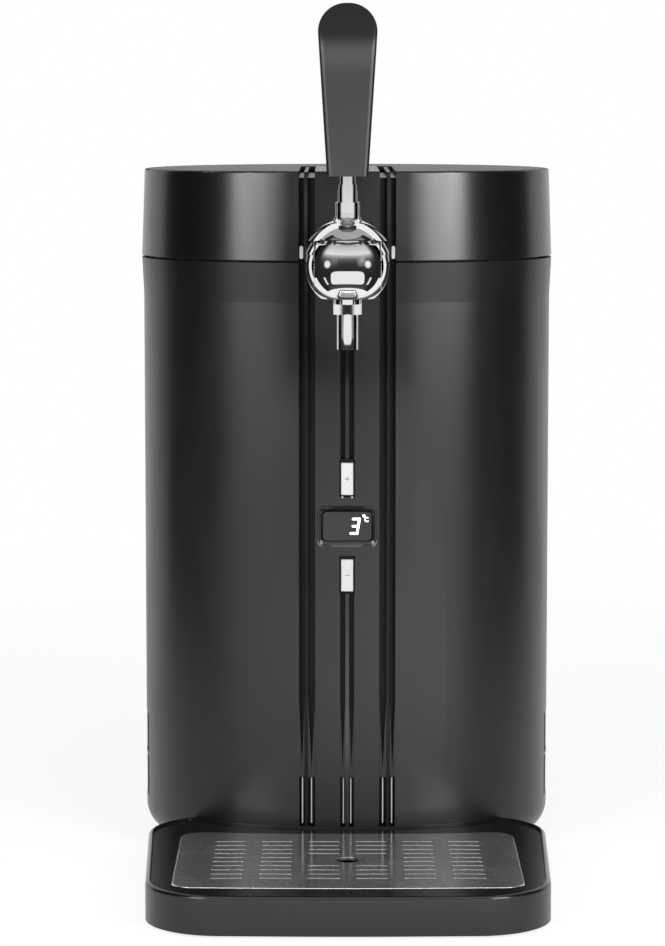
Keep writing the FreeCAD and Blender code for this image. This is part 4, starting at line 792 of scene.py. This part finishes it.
def buttonSurrounds(look):
    # the surround's near-black colour is painted shade for the gap round each button and the recess above it
    matt = mouldedPlastic("surround_matt", {"tone": look["tone"], "rough": 0.6, "gloss": 0.12,
                                            "grain": 2200.0, "depth": 0.000006})
    for node in ("plus_button", "minus_button"):
        low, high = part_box(node)
        side = high.x + look["gap"] + look["width"] / 2
        foot = low.z - look["gap"] - look["width"] / 2
        head = high.z + look["gap"] + look["crown"] / 2
        rim = bmesh.new()
        for across in (-side, side):
            bar(rim, (across, foot), (across, head), look["width"], look["front"], look["back"])
        bar(rim, (-side, foot), (side, foot), look["width"], look["front"], look["back"])
        inset = side - look["crown"] / 2 + look["width"] / 2
        bar(rim, (-inset, head), (inset, head), look["crown"], look["front"], look["back"])
        newPiece(node + "_surround", rim, matt, "housing")
    # two white pins below the plus button stand in for two glints: painted highlight
    glintPins = bmesh.new()
    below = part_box("plus_button")[0].z - look["pinBelow"]
    seat = look["front"] + look["pinDepth"] * look["pinSunk"]
    for across in (-look["pinAside"], look["pinAside"]):
        tip = look["pinRadius"] * look["pinTip"]
        made = bmesh.ops.create_cone(glintPins, cap_ends=True, segments=14, radius1=look["pinRadius"],
                                     radius2=tip, depth=look["pinDepth"])["verts"]
        bmesh.ops.rotate(glintPins, cent=(0, 0, 0), matrix=Matrix.Rotation(math.pi / 2, 3, "X"), verts=made)
        bmesh.ops.translate(glintPins, vec=(across, seat, below), verts=made)
    rims = [edge for edge in glintPins.edges if any(len(face.verts) > 4 for face in edge.link_faces)]
    bmesh.ops.bevel(glintPins, geom=rims, offset=look["pinEased"], affect="EDGES", segments=3,
                    profile=0.5, material=-1)
    newPiece("button_glint_pins", glintPins, finishes["button_white"], "housing", True)


buttonSurrounds(surrounds)


# bright stops beside the tap, and pale strips in the channels' feet that stand in for glints reflected there:
# painted highlights

trims = {
    "stops": {"spots": ((0.0282, -0.0346, -0.0299),), "width": 0.0021, "low": 0.37915, "high": 0.38495},
    # pale strips in place of the glints in the channels' feet: painted highlight
    "glintRunners": {"spots": ((0.0023, -0.0334, -0.0306), (0.0222, -0.0322, -0.0288), (0.0278, -0.0322, -0.0288)),
                "width": 0.00075, "low": 0.0262, "high": 0.0545},
    # colour of the painted glint strips
    "tone": (0.30, 0.30, 0.305),
}


def uprights(look):
    # upright bars in pairs; each spot is a distance from the middle with its front and back
    bm = bmesh.new()
    for way in (-1.0, 1.0):
        for spot, front, back in look["spots"]:
            bar(bm, (spot * way, look["low"]), (spot * way, look["high"]), look["width"], front, back)
    return bm


def channelTrims(look):
    # the strips' pale tone is a painted highlight
    polished = mouldedPlastic("runner_painted_glint", {"tone": look["tone"], "rough": 0.16,
                                                  "grain": 600.0, "depth": 0.000010})
    newPiece("lid_stops", uprights(look["stops"]), finishes["button_white"], "lid")
    newPiece("channel_glint_strips", uprights(look["glintRunners"]), polished, "housing")


channelTrims(trims)


# plates that close the channels near the foot, each with a long notch that narrows to a point

plates = {
    "spans": (
        (0.00120, 0.00435, -0.0346, -0.0310),  # inner side, outer side, front and back
        (0.01980, 0.02435, -0.0335, -0.0297),
        (0.02645, 0.02990, -0.0328, -0.0290),
    ),
    "foot": 0.0552,
    "apex": 0.0605,
    "head": 0.1060,
}


def channelPlates(look):
    bm = bmesh.new()
    rows = (look["foot"], look["apex"], look["head"])
    for way in (-1.0, 1.0):
        for near, far, front, back in look["spans"]:
            middle, wide = (near + far) / 2 * way, far - near
            grid = bmesh.ops.create_grid(bm, x_segments=2, y_segments=2, size=0.5)["verts"]
            tips = [vert for vert in grid if abs(vert.co.x) < 0.1 and vert.co.y > -0.1]
            for vert in grid:
                vert.co = (middle + vert.co.x * wide, front, rows[round(vert.co.y * 2) + 1])
            bmesh.ops.pointmerge(bm, verts=tips, merge_co=(middle, front, look["apex"]))
            sheet = {face for vert in grid if vert.is_valid for face in vert.link_faces}
            moved = bmesh.ops.extrude_face_region(bm, geom=list(sheet))["geom"]
            moved = [part for part in moved if isinstance(part, bmesh.types.BMVert)]
            bmesh.ops.translate(bm, vec=(0, back - front, 0), verts=moved)
    newPiece("channel_plates", bm, finishes["housing_grey"], "housing")


channelPlates(plates)
print("marks, figures and trims made")


# floor, world and lights

ground = {"size": 60.0, "tone": 0.86, "own": 0.84, "near": 0.45, "far": 1.5}


def lookingRay(start):
    # 1 for what the eye meets straight, mirrored or through something clear
    path = start.node("ShaderNodeLightPath", out="Is Camera Ray")
    glossy = Wire(start.tree, path.socket.node.outputs["Is Glossy Ray"])
    through = Wire(start.tree, path.socket.node.outputs["Is Transmission Ray"])
    return path.maths("ADD", path + glossy, through, clamp=True)


def layFloor(look):
    material, start = newMaterial("studio_floor")
    place = objectPlace(start)
    speck = cloud(start, place, 3.0)
    tone = between(start, shade(look["tone"] * 0.985), shade(look["tone"]), speck)
    paint = start.node("ShaderNodeBsdfDiffuse", {}, {"Color": tone})
    glow = start.node("ShaderNodeEmission", {}, {"Color": shade(1.0), "Strength": 1.0})
    reach = start.node("ShaderNodeVectorMath", {"operation": "LENGTH"}, {0: place}, out="Value")
    white = ramped(start, reach, look["near"], look["far"]) * (1.0 - look["own"]) + look["own"]
    mixed = start.node("ShaderNodeMixShader", {}, {0: lookingRay(start) * white, 1: paint, 2: glow})
    start.node("ShaderNodeOutputMaterial", {}, {"Surface": mixed})
    bm = bmesh.new()
    bmesh.ops.create_grid(bm, x_segments=4, y_segments=4, size=look["size"] / 2)
    placeMesh("studio_floor", bm, material)


layFloor(ground)

sky = {"fill": 0.45, "shown": 1.0}


def openWorld(look):
    world = bpy.data.worlds.new("studio")
    bpy.context.scene.world = world
    world.use_nodes = True
    world.node_tree.nodes.clear()
    start = Wire(world.node_tree)
    tone = between(start, shade(look["fill"]), shade(look["shown"]), lookingRay(start))
    back = start.node("ShaderNodeBackground", {}, {"Color": tone, "Strength": 1.0})
    start.node("ShaderNodeOutputWorld", {}, {"Surface": back})


openWorld(sky)

lamps = {
    "left_key": {"at": (-0.82, -1.08, 0.70), "aim": (0.0, -0.03, 0.42),
                 "wide": 0.44, "high": 0.56, "watts": 9.5},
    "right_key": {"at": (0.84, -1.06, 0.70), "aim": (0.0, -0.03, 0.42),
                  "wide": 0.50, "high": 0.56, "watts": 15.5},
    "top_soft": {"at": (0.0, -0.75, 1.9), "aim": (0.0, -0.35, 0.2),
                 "wide": 1.8, "high": 1.4, "watts": 22.0},
}


def hangLamps(table):
    for name, look in table.items():
        lamp = bpy.data.lights.new(name, "AREA")
        lamp.shape = "RECTANGLE"
        lamp.size = look["wide"]
        lamp.size_y = look["high"]
        lamp.energy = look["watts"]
        place = bpy.data.objects.new(name, lamp)
        place.location = look["at"]
        aim = Vector(look["aim"]) - Vector(look["at"])
        place.rotation_euler = aim.to_track_quat("-Z", "Y").to_euler()
        bpy.context.scene.collection.objects.link(place)


hangLamps(lamps)

flags = {
    "left_flag": {"centre": (-0.95, -0.18, 0.60), "normal": (1.0, 0.0, 0.0), "wide": 1.16, "high": 1.5},
    "right_flag": {"centre": (0.95, -0.18, 0.60), "normal": (-1.0, 0.0, 0.0), "wide": 1.16, "high": 1.5},
}


def reflectedOnly(name, bm, material):
    # a piece of the studio that only reflections see
    piece = placeMesh(name, bm, material)
    piece.visible_camera = False
    piece.visible_diffuse = False
    piece.visible_shadow = False
    piece.visible_transmission = False


def hangFlag(name, look):
    material, start = newMaterial(name)
    cloth = start.node("ShaderNodeBsdfDiffuse", {}, {"Color": shade(0.0)})
    start.node("ShaderNodeOutputMaterial", {}, {"Surface": cloth})
    bm = bmesh.new()
    made = bmesh.ops.create_grid(bm, x_segments=1, y_segments=1, size=0.5)["verts"]
    bmesh.ops.scale(bm, vec=(look["wide"], look["high"], 1.0), verts=made)
    turn = Vector(look["normal"]).to_track_quat("Z", "Y").to_matrix()
    bmesh.ops.rotate(bm, cent=(0, 0, 0), matrix=turn, verts=made)
    bmesh.ops.translate(bm, vec=look["centre"], verts=made)
    reflectedOnly(name, bm, material)


for name, look in flags.items():
    hangFlag(name, look)

cards = {
    "low_card": {"middle": (0.03, -0.62, 0.003), "wide": 0.90, "deep": 0.56, "taper": 1.0,
                 "turn": 0.0, "left": 1.8, "right": 3.8},
    "roof_card": {"middle": (0.0, -0.16, 0.60), "wide": 0.50, "deep": 0.34, "taper": 1.0,
                  "turn": math.pi, "left": 0.42, "right": 0.42},
    "tap_back": {"middle": (0.0, -0.0382, 0.370), "wide": 0.074, "deep": 0.10, "taper": 0.40,
                 "turn": math.pi / 2, "left": 0.85, "right": 0.85},
}


def setCard(name, look):
    # a glowing card seen in reflections from its glowing side alone, brighter to one end
    material, start = newMaterial(name)
    place = objectPlace(start)
    middle, half = look["middle"][0], look["wide"] / 2
    share = ramped(start, axes(start, place)[0], middle - half, middle + half)
    power = share * (look["right"] - look["left"]) + look["left"]
    glow = start.node("ShaderNodeEmission", {}, {"Color": shade(1.0), "Strength": power})
    clear = start.node("ShaderNodeBsdfTransparent")
    behind = start.node("ShaderNodeNewGeometry", out="Backfacing")
    mixed = start.node("ShaderNodeMixShader", {}, {0: behind, 1: glow, 2: clear})
    start.node("ShaderNodeOutputMaterial", {}, {"Surface": mixed})
    bm = bmesh.new()
    made = bmesh.ops.create_grid(bm, x_segments=1, y_segments=1, size=0.5)["verts"]
    bmesh.ops.scale(bm, vec=(look["wide"], look["deep"], 1.0), verts=made)
    bmesh.ops.scale(bm, vec=(look["taper"], 1.0, 1.0), verts=[vert for vert in made if vert.co.y > 0])
    bmesh.ops.rotate(bm, cent=(0, 0, 0), matrix=Matrix.Rotation(look["turn"], 3, "X"), verts=made)
    bmesh.ops.translate(bm, vec=look["middle"], verts=made)
    reflectedOnly(name, bm, material)


for name, look in cards.items():
    setCard(name, look)

tapStudio = {
    "radius": 0.060,
    "halfAngle": math.radians(84),
    "low": -0.079,
    "high": 0.125,
    "spotAngle": math.radians(46),
    "spotHeight": 0.0051,
    "spotRadius": 0.0085,
    "spotSoft": (0.6, 1.2),
    "boxMiddle": -0.0305,
    "boxHalfHeight": 0.0208,
    "boxHalfAngle": math.radians(42),
    "boxWiden": 4.5,
    "boxSquare": 6,
    "boxSoft": (0.85, 1.1),
    "bandHalfAngle": math.radians(62),
    "bandSoft": (0.85, 1.15),
    "nutAngle": math.radians(58),
    "nutHalf": math.radians(4),
    "nutMiddle": -0.036,
    "nutHalfHeight": 0.013,
    "glow": 0.95,
    "dim": 0.02,
    "wall": [
        (0.0, 0.10), (0.10, 0.05), (0.30, 0.02), (0.42, 0.04), (0.47, 0.12), (0.51, 0.42),
        (0.54, 0.86), (0.60, 0.74), (0.72, 0.52), (0.80, 0.30), (1.0, 0.10),
    ],
}


def wrapTap(look):
    # a curved screen in front of the tap: two spots, a soft box, a bright upper band and a low patch each side
    lever = next(joint for joint in frame["joints"] if joint["name"] == "tap lever")
    centre = Vector(lever["pos_m"])
    material, start = newMaterial("tap_screen")
    place = objectPlace(start)
    local = start.node("ShaderNodeMapping", {}, {"Vector": place, "Location": tuple(-centre)})
    x, y, z = axes(start, local)
    angle = abs(start.maths("ARCTAN2", x, y * -1.0))
    spotAcross = (angle - look["spotAngle"]) * look["radius"]
    spotUp = z - look["spotHeight"]
    spotReach = (spotAcross ** 2 + spotUp ** 2) ** 0.5
    spot = 1.0 - ramped(start, spotReach, *(look["spotRadius"] * soft for soft in look["spotSoft"]))
    boxUp = (z - look["boxMiddle"]) / look["boxHalfHeight"]
    boxAcross = angle / ((look["boxMiddle"] - z) * look["boxWiden"] + look["boxHalfAngle"])
    boxReach = abs(boxUp) ** look["boxSquare"] + abs(boxAcross) ** look["boxSquare"]
    box = 1.0 - ramped(start, boxReach, *look["boxSoft"])
    nutAside = abs(angle - look["nutAngle"])
    nutAcross = 1.0 - ramped(start, nutAside, look["nutHalf"] * 0.3, look["nutHalf"])
    nutAbove = abs(z - look["nutMiddle"])
    nutUp = 1.0 - ramped(start, nutAbove, look["nutHalfHeight"] * 0.8, look["nutHalfHeight"])
    span = {"Value": z, "From Min": look["low"], "From Max": look["high"]}
    height = start.node("ShaderNodeMapRange", {}, span)
    wall = start.node("ShaderNodeValToRGB", {"stops": look["wall"]}, {"Fac": height})
    side = 1.0 - ramped(start, angle, *(look["bandHalfAngle"] * soft for soft in look["bandSoft"]))
    dim = between(start, shade(look["dim"]), wall, side)
    patches = start.maths("MAXIMUM", start.maths("MAXIMUM", spot, box), nutAcross * nutUp)
    lit = between(start, dim, shade(look["glow"]), patches)
    glow = start.node("ShaderNodeEmission", {}, {"Color": lit, "Strength": 1.0})
    start.node("ShaderNodeOutputMaterial", {}, {"Surface": glow})
    bm = bmesh.new()
    foot = bm.verts.new((centre.x, centre.y - look["radius"], centre.z + look["low"]))
    head = bm.verts.new((centre.x, centre.y - look["radius"], centre.z + look["high"]))
    edge = bm.edges.new((foot, head))
    bmesh.ops.rotate(bm, cent=centre, matrix=Matrix.Rotation(-look["halfAngle"], 3, "Z"), verts=[foot, head])
    bmesh.ops.spin(bm, geom=[foot, head, edge], cent=centre, axis=(0, 0, 1), angle=look["halfAngle"] * 2,
                   steps=40, use_merge=False)
    reflectedOnly("tap_screen", bm, material)


wrapTap(tapStudio)

bpy.context.scene.view_settings.view_transform = "Standard"
print("studio lit")
